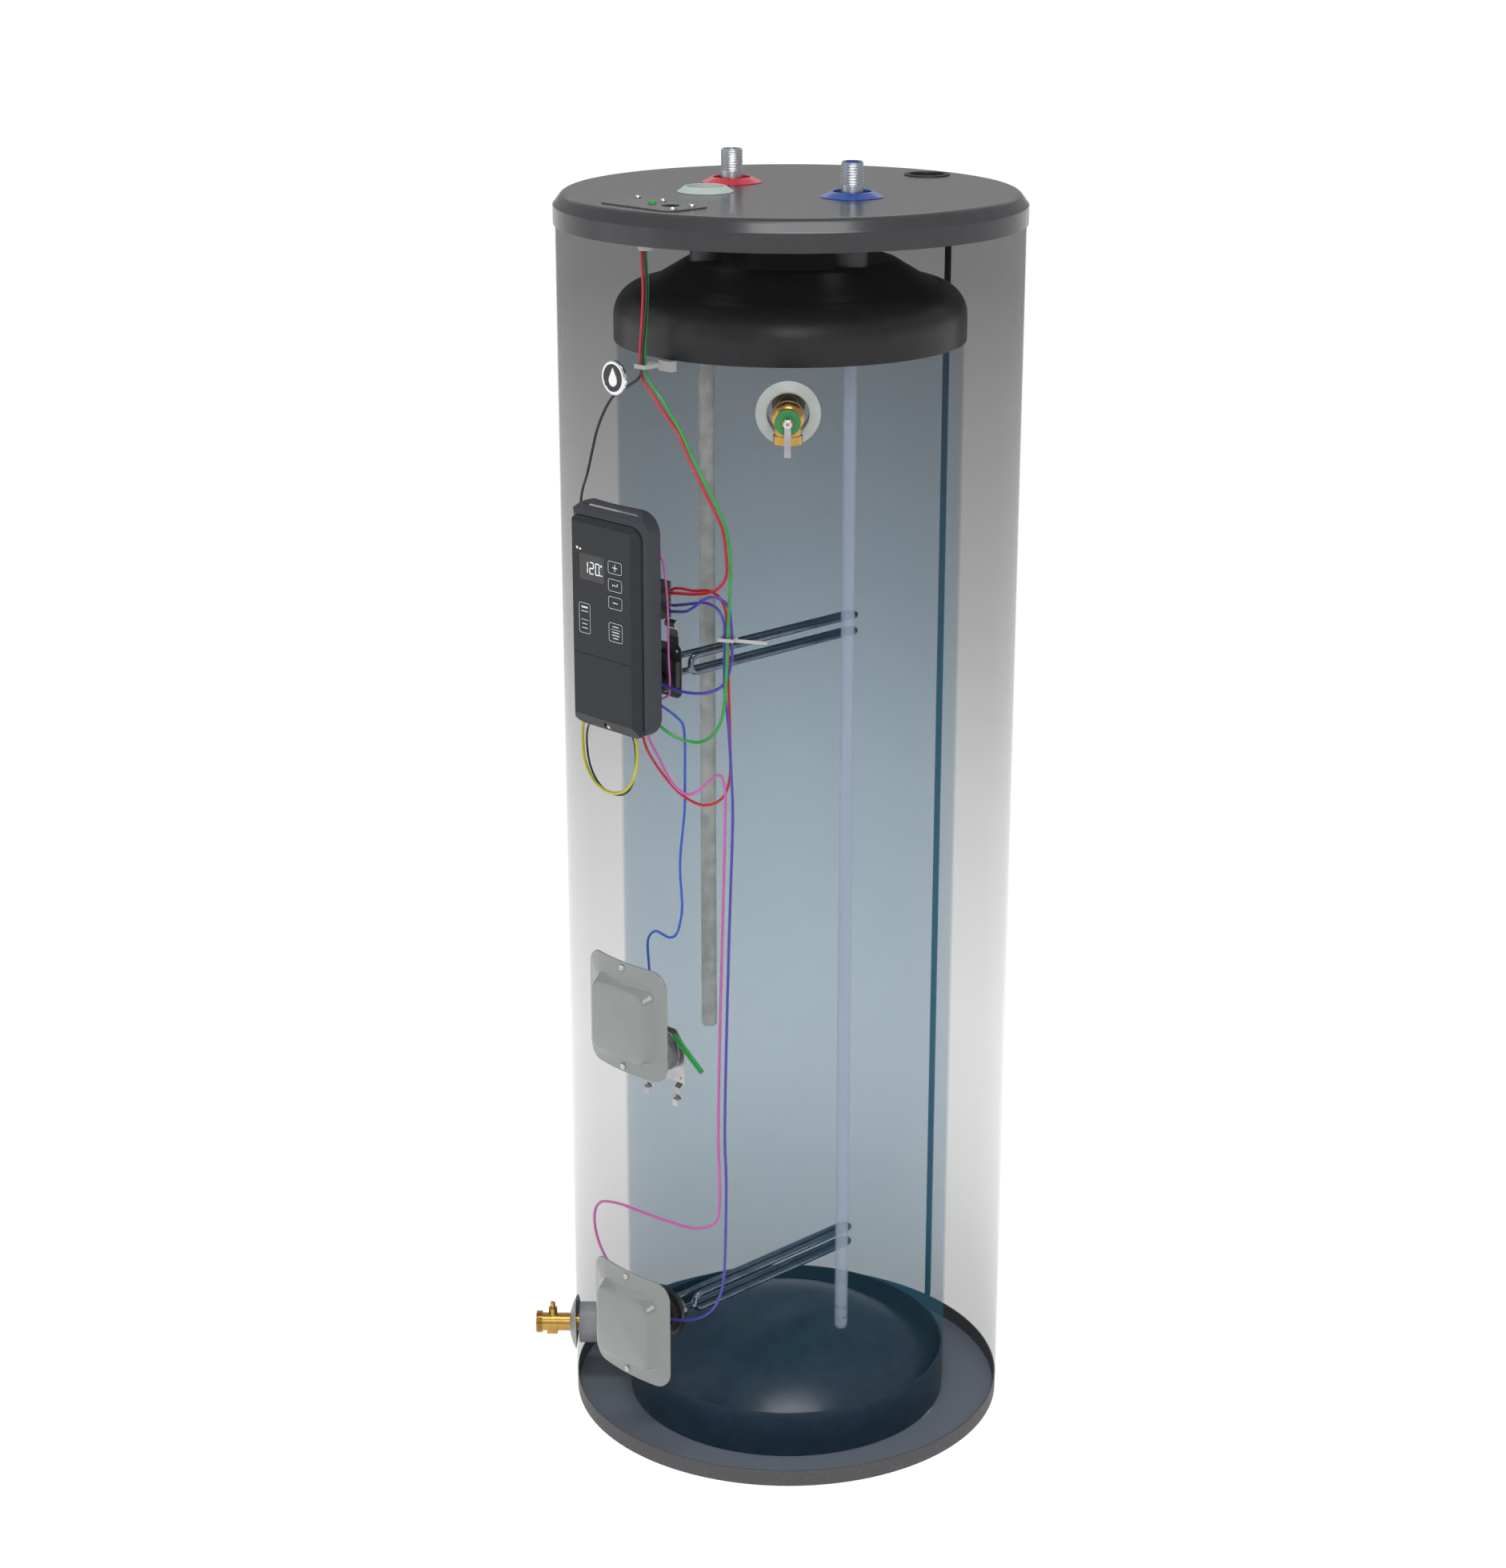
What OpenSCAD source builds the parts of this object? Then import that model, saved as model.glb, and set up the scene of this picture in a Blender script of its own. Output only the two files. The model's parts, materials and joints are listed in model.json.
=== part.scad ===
// Tank water heater, electric, with a side control unit and two heating elements.
// Millimetres. +Z is up, the origin is the centre of the base on the floor, the front is -Y.

/* [Body] */
// outside diameter of the jacket
jacket_d = 562; // [460:1:660]
// height of the top of the lid
lid_h = 1581; // [1200:1:1800]
// thickness of the jacket sheet
jacket_t = 0.8; // [0.5:0.1:1.5]
// height of the base pan
pan_h = 22; // [12:1:40]

/* [Tank] */
// outside diameter of the tank shell
tank_d = 421; // [340:1:500]
// wall thickness of the tank
tank_t = 2; // [1.5:0.5:4]
// height of the lower edge of the top head
head_z = 1405; // [1000:1:1600]
// height of the top of the top head
crown_z = 1503; // [1100:1:1700]
// top of the dished bottom head
dish_z = 110; // [80:1:150]
// height of the collar of the bottom head
dish_collar = 62; // [40:1:90]

/* [Water connections] */
// distance between the hot and cold nipples
nipple_gap = 203.2; // [150:0.1:260]
// outside diameter of a 3/4 inch pipe nipple
pipe_d = 26.7; // [20:0.1:34]
// height of the nipple tops
nipple_top = 1621; // [1590:1:1660]
// length of the pipe thread on a nipple
thread_l = 25; // [15:1:30]
// azimuth of the relief valve, measured from the front
relief_az = 45; // [0:1:90]
// height of the relief valve
relief_z = 1366; // [1250:1:1390]
// azimuth of the drain valve, measured from the front
drain_az = -45; // [-90:1:0]
// height of the drain valve
drain_z = 80; // [72:1:120]

/* [Heating] */
// height of the upper element
upper_z = 1030; // [900:1:1150]
// height of the lower element
lower_z = 176; // [165:1:260]
// diameter of the element sheath
sheath_d = 8; // [6:0.5:10]
// lower end of the anode rod
anode_end = 523; // [300:1:900]
// diameter of the anode rod
anode_d = 19.5; // [15:0.5:26]
// lower end of the dip tube
dip_end = 112; // [112:1:300]

/* [Controls] */
// width of the control unit
unit_w = 132; // [100:1:160]
// lower edge of the control unit
unit_z0 = 972; // [900:1:1000]
// upper edge of the control unit
unit_z1 = 1243; // [1200:1:1300]
// distance from the tank axis to the front face of the control unit
face_r = 307; // [300:1:330]
// width of an access cover
cover_w = 139; // [110:1:160]
// height of an access cover
cover_h = 145; // [110:1:170]
// centre height of the middle access cover
mid_z = 603; // [400:1:800]
// centre height of the lower access cover
low_z = 186; // [160:1:260]

/* [Wires] */
// diameter of a power lead
wire_d = 3.8; // [2:0.1:6]
// diameter of a sensor lead
thin_d = 2.6; // [1.5:0.1:4]

/* [Hidden] */
$fn = 96;
jacket_r = jacket_d / 2;
tank_r = tank_d / 2;
tank_in = tank_r - tank_t;
pan_t = 1.2;
gap = 0.3;
fit = 0.06;
pipe_r = pipe_d / 2;
hot_xy = [-nipple_gap / 2, 0];
cold_xy = [nipple_gap / 2, 0];
anode_xy = [-52, -90];
grommet_xy = [12, 224];
spud_top = 1530;
spud_step = 1509;
spud_r = 19;
spud_out = 225;
lid_skirt = 1544;
lid_crease = 1566;
lid_seat = 1562;
lid_r = jacket_r + 1.6;
lid_t = 2;
boxes_y = -219;
sleeve_r = 27;
relief_r = 305;
drain_ball_r = 312.5;
bracket_r = 214;

// node to draw

// ---------------------------------------------------------------- helpers

// Local frame on the side of the heater: x to the right, y up, z outward from the axis.
module outward(az, z) {
    rotate([0, 0, az]) translate([0, 0, z]) rotate([90, 0, 0]) children();
}

// Upright frame at a point of the lid plan.
module standing(xy, z) {
    translate([xy[0], xy[1], z]) children();
}

// Rectangle with round corners, centred.
module rounded(w, h, r) {
    square([w - 2 * r, h], center = true);
    square([w, h - 2 * r], center = true);
    for (x = [-1, 1]) for (y = [-1, 1])
        translate([x * (w / 2 - r), y * (h / 2 - r)]) circle(r);
}

// Ring or tube standing on z = 0.
module tube(r_out, r_in, h) {
    difference() {
        cylinder(r = r_out, h = h);
        translate([0, 0, -1]) cylinder(r = r_in, h = h + 2);
    }
}

// Revolves a profile given as [radius, height] points.
module turned(points) {
    rotate_extrude() polygon(points);
}

// Upright tube concentric with the tank.
module shell(r_out, r_in, z0, z1) {
    translate([0, 0, z0]) tube(r_out, r_in, z1 - z0);
}

// ---------------------------------------------------------------- wires

function unit(v) = v / norm(v);
function place(p) = [p[1] * sin(p[0]), -p[1] * cos(p[0]), p[2]];
function bend(a, b, c, d, t) =
    0.5 * (2 * b + (c - a) * t + (2 * a - 5 * b + 4 * c - d) * t * t
        + (3 * b - a - 3 * c + d) * t * t * t);
function smooth(p, n) = concat(
    [for (i = [0 : len(p) - 2]) for (k = [0 : n - 1])
        bend(p[max(i - 1, 0)], p[i], p[i + 1], p[min(i + 2, len(p) - 1)], k / n)],
    [p[len(p) - 1]]);
function heading(p, i) = unit(p[min(i + 1, len(p) - 1)] - p[max(i - 1, 0)]);
function carried(p, i, side) =
    let (t = heading(p, i), m = unit(side - t * (side * t)))
    i == len(p) - 1 ? [[t, m]] : concat([[t, m]], carried(p, i + 1, m));

// Sweeps an eight-sided lead through points given as [azimuth, radius, height].
module lead(route, d, n = 3) {
    sides = 8;
    p = smooth([for (q = route) place(q)], n);
    f = carried(p, 0, [0.3, 0.8, 0.5]);
    last = len(p) - 1;
    points = [for (i = [0 : last]) for (k = [0 : sides - 1])
        let (a = 360 * k / sides, b = cross(f[i][0], f[i][1]))
        p[i] + d / 2 * (cos(a) * f[i][1] + sin(a) * b)];
    walls = [for (i = [0 : last - 1]) for (k = [0 : sides - 1]) for (half = [0, 1])
        let (a = i * sides + k, b = i * sides + (k + 1) % sides)
        half == 0 ? [a, a + sides, b] : [b, a + sides, b + sides]];
    ends = [[for (k = [0 : sides - 1]) k],
        [for (k = [sides - 1 : -1 : 0]) last * sides + k]];
    polyhedron(points, concat(walls, ends));
}

// ---------------------------------------------------------------- outer body

// Screw centres of both access covers, as heights.
cover_screw_dy = 65;
cover_screw_z = [for (z = [mid_z, low_z]) for (s = [-1, 1]) z + s * cover_screw_dy];

// Openings through the jacket behind everything that is mounted on it.
module jacket_openings() {
    outward(0, (unit_z0 + unit_z1) / 2)
        linear_extrude(jacket_d) rounded(unit_w - 28, unit_z1 - unit_z0 - 36, 8);
    for (z = [mid_z, low_z])
        outward(0, z) linear_extrude(jacket_d) rounded(cover_w - 45, cover_h - 51, 8);
    for (z = cover_screw_z)
        outward(0, z) cylinder(r = 2.2, h = jacket_d);
    outward(relief_az, relief_z) cylinder(r = 26, h = jacket_d);
    outward(drain_az, drain_z) cylinder(r = sleeve_r + 1, h = jacket_d);
}

module jacket() {
    color([0.8, 0.8, 0.8, 0.2])
    difference() {
        shell(jacket_r, jacket_r - jacket_t, 8, lid_seat);
        jacket_openings();
    }
}

// Black strip along the inside of the jacket at the back.
module jacket_seam() {
    seam_w = 8.3;
    seam_t = 3;
    color([0.05, 0.05, 0.05])
    translate([-seam_w / 2, jacket_r - jacket_t - gap - seam_t - 0.1, pan_h + 1])
        cube([seam_w, seam_t, lid_skirt - pan_h - 2]);
}

// Openings of the lid: nipples, anode port, grommet, junction box and its screws.
module lid_openings() {
    for (p = [hot_xy, cold_xy]) standing(p, lid_h - 20) cylinder(r = 24.3, h = 40);
    standing(anode_xy, lid_h - 20) cylinder(r = 24.3, h = 40);
    standing(grommet_xy, lid_h - 20) cylinder(r = 24.3, h = 40);
    standing([0, boxes_y], lid_h - 20) linear_extrude(40) rounded(84, 35, 4);
    for (p = junction_screw_xy) standing(p, lid_h - 20) cylinder(r = 2.2, h = 40);
}

module lid() {
    t = lid_t;
    color([0.27, 0.28, 0.30])
    difference() {
        union() {
            turned([[lid_r, lid_skirt], [lid_r, lid_crease], [lid_r - 1.2, lid_crease + 1.4],
                [lid_r - 7.4, lid_crease + 9.6], [lid_r - 9.4, lid_crease + 11.8],
                [lid_r - 11.6, lid_crease + 13.4], [lid_r - 14.6, lid_crease + 14.6],
                [lid_r - 19, lid_h], [0, lid_h], [0, lid_h - t], [lid_r - 20, lid_h - t],
                [lid_r - 15, lid_h - t - 1], [lid_r - 11, lid_h - t - 3.4],
                [lid_r - 1.2, lid_crease - 0.4], [lid_r - 1.2, lid_skirt]]);
            shell(lid_r - 0.6, jacket_r - 4, lid_seat, lid_seat + 4);
        }
        lid_openings();
    }
}

// Flared trim ring round an opening of the lid, with a short spigot into it.
module trim_ring(r_out, r_in, rise) {
    turned([[r_in, -3], [r_in + 1.2, -3], [r_in + 1.2, 0], [r_out, 0], [r_out, 0.8],
        [r_in + 3, rise], [r_in + 1, rise + 0.6], [r_in, rise]]);
}

module hot_collar() {
    color([0.75, 0.12, 0.18]) standing(hot_xy, lid_h) trim_ring(37, 22.8, 6);
}

module cold_collar() {
    color([0.16, 0.28, 0.62]) standing(cold_xy, lid_h) trim_ring(37, 22.8, 6);
}

module anode_port_ring() {
    color([0.72, 0.77, 0.74]) standing(anode_xy, lid_h) trim_ring(33.5, 22.6, 6.5);
}

// Black blanking cup in the back of the lid.
module lid_grommet() {
    color([0.04, 0.04, 0.04])
    standing(grommet_xy, lid_h)
        turned([[0, -14], [23.8, -14], [23.8, 0], [28.5, 0], [28, 1.4], [23, 1.8],
            [22, 0.6], [22, -12], [0, -12]]);
}

junction_screw_xy = [[-54, -195], [-9, -196.5], [50, -206], [55, -240]];
ground_xy = [0, -221];
knockout_xy = [25, -216];
plate_t = 1.5;
box_h = lid_h - lid_t - lid_skirt;

module junction_box() {
    color([0.55, 0.56, 0.57])
    difference() {
        standing([0, boxes_y], lid_skirt)
            linear_extrude(box_h) square([92, 40], center = true);
        standing([0, boxes_y], lid_skirt + 1.2)
            linear_extrude(box_h) square([89, 37], center = true);
        standing([3, -234], lid_skirt - 1) cylinder(r = 4.6, h = 10);
    }
}

module junction_cover() {
    color([0.62, 0.60, 0.60, 0.75])
    difference() {
        standing([0, boxes_y], lid_h) linear_extrude(plate_t) rounded(124, 66, 14);
        standing(knockout_xy, lid_h - 1) cylinder(r = 11.1, h = 5);
        for (p = concat(junction_screw_xy, [ground_xy])) standing(p, lid_h - 1) cylinder(r = 2.2, h = 5);
    }
}

// Pan-head screw pointing down from its head, with a straight slot.
module pan_screw(head_r, head_h, shank_r, shank_l) {
    difference() {
        union() {
            turned([[0, 0], [head_r, 0], [head_r, head_h * 0.45], [head_r * 0.75, head_h * 0.85],
                [0, head_h]]);
            translate([0, 0, -shank_l]) cylinder(r = shank_r, h = shank_l + 0.1);
        }
        translate([-head_r, -0.5, head_h * 0.55]) cube([2 * head_r, 1, head_h]);
    }
}

module junction_screws() {
    color([0.85, 0.85, 0.85])
    for (p = junction_screw_xy) standing(p, lid_h + plate_t) pan_screw(4.2, 3.4, 1.9, 8);
    color([0.1, 0.55, 0.2])
    standing(ground_xy, lid_h + plate_t) pan_screw(4.6, 3.4, 1.9, 8);
}

// Bushing that holds the leads where they leave the junction box.
module strain_relief() {
    color([0.86, 0.85, 0.83])
    difference() {
        standing([3, -234], 0) turned([[4, 1532], [9, 1532], [9.5, 1534], [9.5, 1541],
            [8, lid_skirt], [4, lid_skirt]]);
        for (route = [black_supply, red_supply, green_supply])
            translate([place(route[0])[0], place(route[0])[1], 1530])
                cylinder(r = wire_d / 2 + 0.3, h = 20);
    }
}

module base_pan() {
    r = jacket_r - jacket_t - gap - 0.3;
    color([0.45, 0.45, 0.46])
    turned([[0, 0], [r - 1, 0], [r, 1], [r, pan_h - 0.6], [r - 0.6, pan_h], [r - 1.6, pan_h],
        [r - 2, pan_h - 0.6], [r - 2, pan_t + 0.6], [r - 2.6, pan_t], [0, pan_t]]);
}

// Round emblem with a raised drop, on the jacket above the control unit.
module badge() {
    badge_r = 20;
    base = jacket_r - 1.4;
    color([0.8, 0.8, 0.82])
    difference() {
        outward(0, 1391) {
            translate([0, 0, base]) cylinder(r = badge_r, h = 4);
            translate([0, 0, base + 4]) cylinder(r1 = badge_r, r2 = badge_r - 1.5, h = 1.4);
        }
        outward(0, 1391) translate([0, 0, base + 4]) cylinder(r = badge_r - 4, h = 3);
        cylinder(r = jacket_r + gap, h = 2000, $fn = 720);
    }
    color([0.8, 0.8, 0.82])
    outward(0, 1391) translate([0, 0, base + 3.9]) linear_extrude(1.4) {
        translate([0, -3]) circle(7);
        polygon([[-6.1, 0.5], [0, 12], [6.1, 0.5], [0, -3]]);
    }
}

// ---------------------------------------------------------------- tank

// Outline of the top head from its axis to its lower edge, inset by t.
module head_outline(t) {
    r = tank_r + 2 - t;
    difference() {
        union() {
            translate([r - 38 + t, 1434]) circle(38 - t);
            polygon([[0, head_z - 1], [r, head_z - 1], [r, 1434], [r - 30, 1455],
                [177 - 0.3 * t, 1471.6 - t], [163, 1477.5 - t], [128, crown_z - 4.5 - t],
                [118, crown_z - 1.5 - t], [0, crown_z - t]]);
        }
        translate([-500, head_z - 500]) square([1000, 500]);
        translate([-500, 0]) square([500, 3000]);
    }
}

module head_solid(t) {
    rotate_extrude() head_outline(t);
}

top_ports = [hot_xy, cold_xy, anode_xy];

module top_head() {
    color([0.07, 0.07, 0.08])
    difference() {
        head_solid(0);
        translate([0, 0, -0.01]) head_solid(tank_t);
        for (p = top_ports) standing(p, crown_z - 20) cylinder(r = 11, h = 40);
    }
}

module tank_shell() {
    color([0.45, 0.55, 0.62, 0.35])
    difference() {
        shell(tank_r, tank_in, pan_t, head_z + 25);
        for (z = [upper_z, lower_z]) outward(0, z) cylinder(r = 17.6, h = tank_r + 20);
        outward(relief_az, relief_z) cylinder(r = 8, h = tank_r + 20);
        outward(drain_az, drain_z) cylinder(r = 10, h = tank_r + 20);
    }
}

// Bottom head: a dish bulging up inside a collar that is welded into the shell.
module bottom_head() {
    r = tank_in - gap;
    t = 2.5;
    dish_r = 300;
    color([0.10, 0.13, 0.20]) {
        shell(r, r - t, pan_t, dish_collar);
        difference() {
            intersection() {
                translate([0, 0, dish_z - dish_r]) sphere(r = dish_r, $fn = 200);
                shell(r - 0.5, 0, pan_t, 200);
            }
            translate([0, 0, dish_z - dish_r]) sphere(r = dish_r - t, $fn = 200);
            translate([0, 0, -10]) cylinder(r = 150, h = 20);
        }
    }
}

// Threaded sockets: three on the top head, two on the shell.
module threaded_spuds() {
    color([0.50, 0.50, 0.48]) {
        difference() {
            for (p = top_ports) standing(p, crown_z - 8) cylinder(r = spud_r, h = spud_top - crown_z + 8);
            for (p = top_ports) {
                standing(p, spud_step) cylinder(r = pipe_r + 0.25, h = 60);
                standing(p, crown_z - 20) cylinder(r = 11, h = 60);
            }
            translate([0, 0, 0.2]) head_solid(0);
        }
        difference() {
            for (s = [[relief_az, relief_z], [drain_az, drain_z]])
                outward(s[0], s[1]) translate([0, 0, tank_r - 6])
                    tube(spud_r, pipe_r + 0.25, spud_out - tank_r + 6);
            cylinder(r = tank_r + 0.2, h = 2000);
        }
    }
}

element_face = 222;

module element_spuds() {
    color([0.5, 0.5, 0.5])
    difference() {
        for (z = [upper_z, lower_z])
            outward(0, z) translate([0, 0, tank_r - 8]) tube(25.5, 17.4, element_face - tank_r + 8);
        cylinder(r = tank_r + 0.2, h = 2000);
    }
}

module nipple(xy) {
    color([0.72, 0.74, 0.76])
    standing(xy, spud_step + 3) {
        h = nipple_top - spud_step - 3;
        plain_r = pipe_r - 0.25;
        difference() {
            union() {
                cylinder(r = plain_r, h = h - 1.2);
                translate([0, 0, h - 1.2 - thread_l]) cylinder(r = pipe_r, h = thread_l);
                translate([0, 0, h - 1.2]) cylinder(r1 = pipe_r, r2 = pipe_r - 1, h = 1.2);
            }
            translate([0, 0, -1]) cylinder(r = 10.45, h = h + 2);
        }
    }
}

module hot_nipple() {
    nipple(hot_xy);
}

module cold_nipple() {
    nipple(cold_xy);
}

module cold_liner() {
    color([0.15, 0.2, 0.6])
    standing(cold_xy, nipple_top)
        turned([[8.6, -40], [10.2, -40], [10.2, 0], [12, 0], [11.6, 0.8], [8.6, 0.8]]);
}

// Plastic tube that takes the cold water down, closed and rounded at its lower end.
module dip_tube() {
    r = 8.6;
    wall = 1.6;
    holes = [131, 146];
    color([0.88, 0.90, 0.92, 0.9])
    standing(cold_xy, 0)
    difference() {
        union() {
            translate([0, 0, dip_end + r]) cylinder(r = r, h = spud_step - dip_end - r);
            translate([0, 0, dip_end + r]) sphere(r = r);
            translate([0, 0, spud_step]) cylinder(r = pipe_r - 0.2, h = 3);
        }
        translate([0, 0, dip_end + r]) cylinder(r = r - wall, h = spud_step - dip_end);
        translate([0, 0, dip_end + r]) sphere(r = r - wall);
        for (z = holes) for (a = [10, 80]) outward(a, z) cylinder(r = 2.4, h = 20);
    }
}

// Sacrificial rod under a hexagonal plug.
module anode_rod() {
    plug_top = spud_top + 11;
    r = anode_d / 2;
    color([0.62, 0.62, 0.58])
    standing(anode_xy, 0) {
        turned([[0, anode_end], [r - 2.5, anode_end], [r - 0.8, anode_end + 0.8],
            [r, anode_end + 2.5], [r, spud_step], [pipe_r - 0.1, spud_step],
            [pipe_r - 0.1, spud_top], [0, spud_top]]);
        translate([0, 0, spud_top]) cylinder(r = 15.6, h = plug_top - spud_top, $fn = 6);
    }
}

// ---------------------------------------------------------------- heating

leg_x = 6.5;
leg_y = 10.5;
fold_near = 162;
fold_far = -108;
plug_face = element_face + 2.5;

// Half-ring joining two legs, in the local frame of the element.
module fold(r, turn) {
    rotate(turn) rotate([90, 0, 0]) rotate_extrude(angle = 180)
        translate([r, 0]) circle(r = sheath_d / 2, $fn = 32);
}

// One folded element: hexagonal plug outside, four legs and three folds in the water.
module element() {
    leg_r = sheath_d / 2;
    translate([0, 0, plug_face]) cylinder(r = 22, h = 8.5, $fn = 6);
    translate([0, 0, 196]) cylinder(r = 17.2, h = plug_face - 196);
    for (y = [-leg_y, leg_y]) {
        translate([-leg_x, y, fold_far]) cylinder(r = leg_r, h = 197 - fold_far, $fn = 32);
        translate([leg_x, y, fold_far]) cylinder(r = leg_r, h = fold_near - fold_far, $fn = 32);
        translate([0, y, fold_far]) mirror([0, 0, 1]) fold(leg_x, [0, 0, 0]);
    }
    translate([leg_x, 0, fold_near]) fold(leg_y, [0, 0, 90]);
}

module heating_elements() {
    color([0.25, 0.26, 0.30])
    for (z = [upper_z, lower_z]) outward(0, z) element();
}

module element_gaskets() {
    color([0.08, 0.08, 0.08])
    for (z = [upper_z, lower_z])
        outward(0, z) translate([0, 0, element_face]) tube(24, 17.5, plug_face - element_face);
}

// Terminal block with two screws on each plug.
module element_blocks() {
    base = plug_face + 8.5;
    for (z = [upper_z, lower_z]) outward(0, z) {
        color([0.1, 0.1, 0.1]) translate([0, 0, base]) cylinder(r = 14, h = 7);
        color([0.1, 0.1, 0.1]) translate([-12, -4, base + 6.9]) cube([24, 8, 4]);
        color([0.8, 0.8, 0.8]) for (x = [-8, 8]) translate([x, 0, base + 10.8]) cylinder(r = 3.2, h = 2.4);
    }
}

// Black bracket of the upper element and round guard of the lower one.
module element_brackets() {
    t = 1.5;
    hole_r = 26.2;
    color([0.06, 0.06, 0.07]) {
        outward(0, upper_z) translate([0, 0, bracket_r]) difference() {
            linear_extrude(t) {
                translate([0, 4.5]) rounded(72, 66, 9);
                for (s = [-1, 1]) translate([s * 23 - 8, 30]) square([16, 24]);
            }
            translate([0, 0, -1]) cylinder(r = hole_r, h = t + 2);
            for (x = [-29, 29]) translate([x, 29, -1]) cylinder(r = 2.5, h = t + 2);
            for (x = [-29, 29]) translate([x, -20, -1]) cylinder(r = 2, h = t + 2);
        }
        outward(0, upper_z) for (s = [-1, 1])
            translate([s * 34 - 1, -14, bracket_r + t - 0.1]) cube([2, 32, 7]);
        outward(0, lower_z + 4) translate([0, 0, bracket_r]) difference() {
            cylinder(r = 33, h = 5);
            translate([0, -4, -1]) cylinder(r = hole_r, h = 7);
        }
    }
}

// Spring clip of sheet steel above the bracket.
module upper_clip() {
    t = 0.9;
    color([0.75, 0.75, 0.77])
    outward(0, upper_z) for (s = [-1, 1]) translate([s * 23 - 9, 48, bracket_r + 1.5])
        rotate([90, 0, 90]) linear_extrude(18) polygon([[0, 0], [0, t], [8, t], [12, 6], [17, 6],
            [20, 2], [20, 2 - t], [16.6, 6 - t], [12.6, 6 - t], [8.6, 0]]);
}

switch_z = 1121;
switch_x = -2;
switch_face = 236;
blade_z = [1131, 1115, 1109];

// High-limit switch with three terminal blades on its right side.
module limit_switch() {
    color([0.12, 0.12, 0.12])
    outward(0, switch_z) difference() {
        translate([switch_x - 20, -22, bracket_r]) cube([40, 44, switch_face - bracket_r]);
        translate([switch_x, 0, switch_face - 6]) cylinder(r = 4.3, h = 10);
    }
    color([0.8, 0.8, 0.8])
    for (z = blade_z) outward(0, z)
        translate([switch_x + 19.9, -2.5, 221]) cube([3.1, 5, 1.2]);
}

module reset_button() {
    color([0.8, 0.1, 0.1])
    outward(0, switch_z) translate([switch_x, 0, switch_face - 3.2]) cylinder(r = 4, h = 5.2);
}

// Steel bracket behind the middle access cover, on two sprung feet.
module mid_bracket() {
    t = 1.2;
    color([0.62, 0.60, 0.60])
    outward(0, 540) {
        translate([0, 0, 212.5]) difference() {
            linear_extrude(t) polygon([[-35, -38], [35, -38], [35, 14], [20, 32], [-20, 32], [-35, 14]]);
            translate([0, 0, -1]) cylinder(r = 26, h = t + 2);
            for (x = [-28, 28]) translate([x, -30, -1]) cylinder(r = 2, h = t + 2);
        }
        for (s = [-1, 1]) translate([s * 27 - 5, 0, 212.5]) rotate([90, 0, 90]) linear_extrude(10)
            polygon([[-37, 0], [-37, t], [-42, 6], [-50, 8], [-56, 3], [-57, 10], [-66, 10],
                [-66, 9], [-58, 9], [-57, 1.5], [-55, 1.5], [-49, 6.6], [-43, 4.8], [-39, 0]]);
    }
}

// Round sensor body in the middle bracket, with a bore for its probe.
module mid_sensor() {
    color([0.45, 0.46, 0.47])
    outward(0, 540) difference() {
        union() {
            translate([0, 0, 214]) cylinder(r = 25.6, h = 12);
            translate([0, 0, 211.5]) cylinder(r = 20, h = 3);
        }
        translate([0, 0, 217]) cylinder(r = 20, h = 20);
    }
}

// ---------------------------------------------------------------- control unit

unit_mid = (unit_z0 + unit_z1) / 2;
unit_h = unit_z1 - unit_z0;
cover_top = 1226;
cover_half = 59.5;
shoulder_r = 299;
tray_r = 292.5;
chin_z = 978.5;

// Plan of the housing, with rounded front corners; y is minus the distance from the axis.
module unit_plan() {
    corner = 14;
    half = unit_w / 2;
    translate([-half, -shoulder_r + corner]) square([unit_w, 60]);
    translate([-half + corner, -shoulder_r]) square([unit_w - 2 * corner, 60]);
    for (s = [-1, 1]) translate([s * (half - corner), -shoulder_r + corner]) circle(corner);
}

// Side of the housing: a sloping shoulder at the top and a small one at the bottom.
module unit_side() {
    polygon([[-230, unit_z0], [-shoulder_r + 4, unit_z0], [-shoulder_r, unit_z0 + 5],
        [-shoulder_r, cover_top + 1], [-shoulder_r + 3, cover_top + 6],
        [-shoulder_r + 12, unit_z1 - 2], [-shoulder_r + 17, unit_z1], [-230, unit_z1]]);
}

module control_housing() {
    color([0.23, 0.24, 0.26])
    difference() {
        intersection() {
            translate([0, 0, unit_z0 - 5]) linear_extrude(unit_h + 10) unit_plan();
            rotate([90, 0, 90]) translate([0, 0, -100]) linear_extrude(200) unit_side();
            outward(0, unit_mid) linear_extrude(400) rounded(unit_w, unit_h, 26);
        }
        translate([0, 0, unit_z0 + 4]) intersection() {
            translate([-unit_w / 2 + 4, -tray_r + 1.8, 0]) cube([unit_w - 8, 80, unit_h - 8]);
            outward(0, unit_h / 2 - 4) linear_extrude(400) rounded(unit_w - 8, unit_h - 8, 22);
        }
        outward(0, 0) translate([0, 0, tray_r]) linear_extrude(60)
            translate([0, (cover_top + 900) / 2]) rounded(2 * cover_half + 1.6, cover_top - 900 + 1.6, 15);
        cylinder(r = jacket_r + gap, h = 2000);
        for (z = [1020, 1180]) outward(0, z) cylinder(r = 9, h = 320);
        outward(0, chin_z) cylinder(r = 2.2, h = 320);
    }
}

key_list = [[24.5, 1175.5, 25, 16], [24.5, 1154.5, 25, 16], [24.5, 1133.5, 25, 16],
    [24.5, 1098, 25, 24], [-30, 1106, 21, 38]];
key_corner = 3;
key_play = 0.25;
screen = [-17, 1168, 44, 32];

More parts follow.
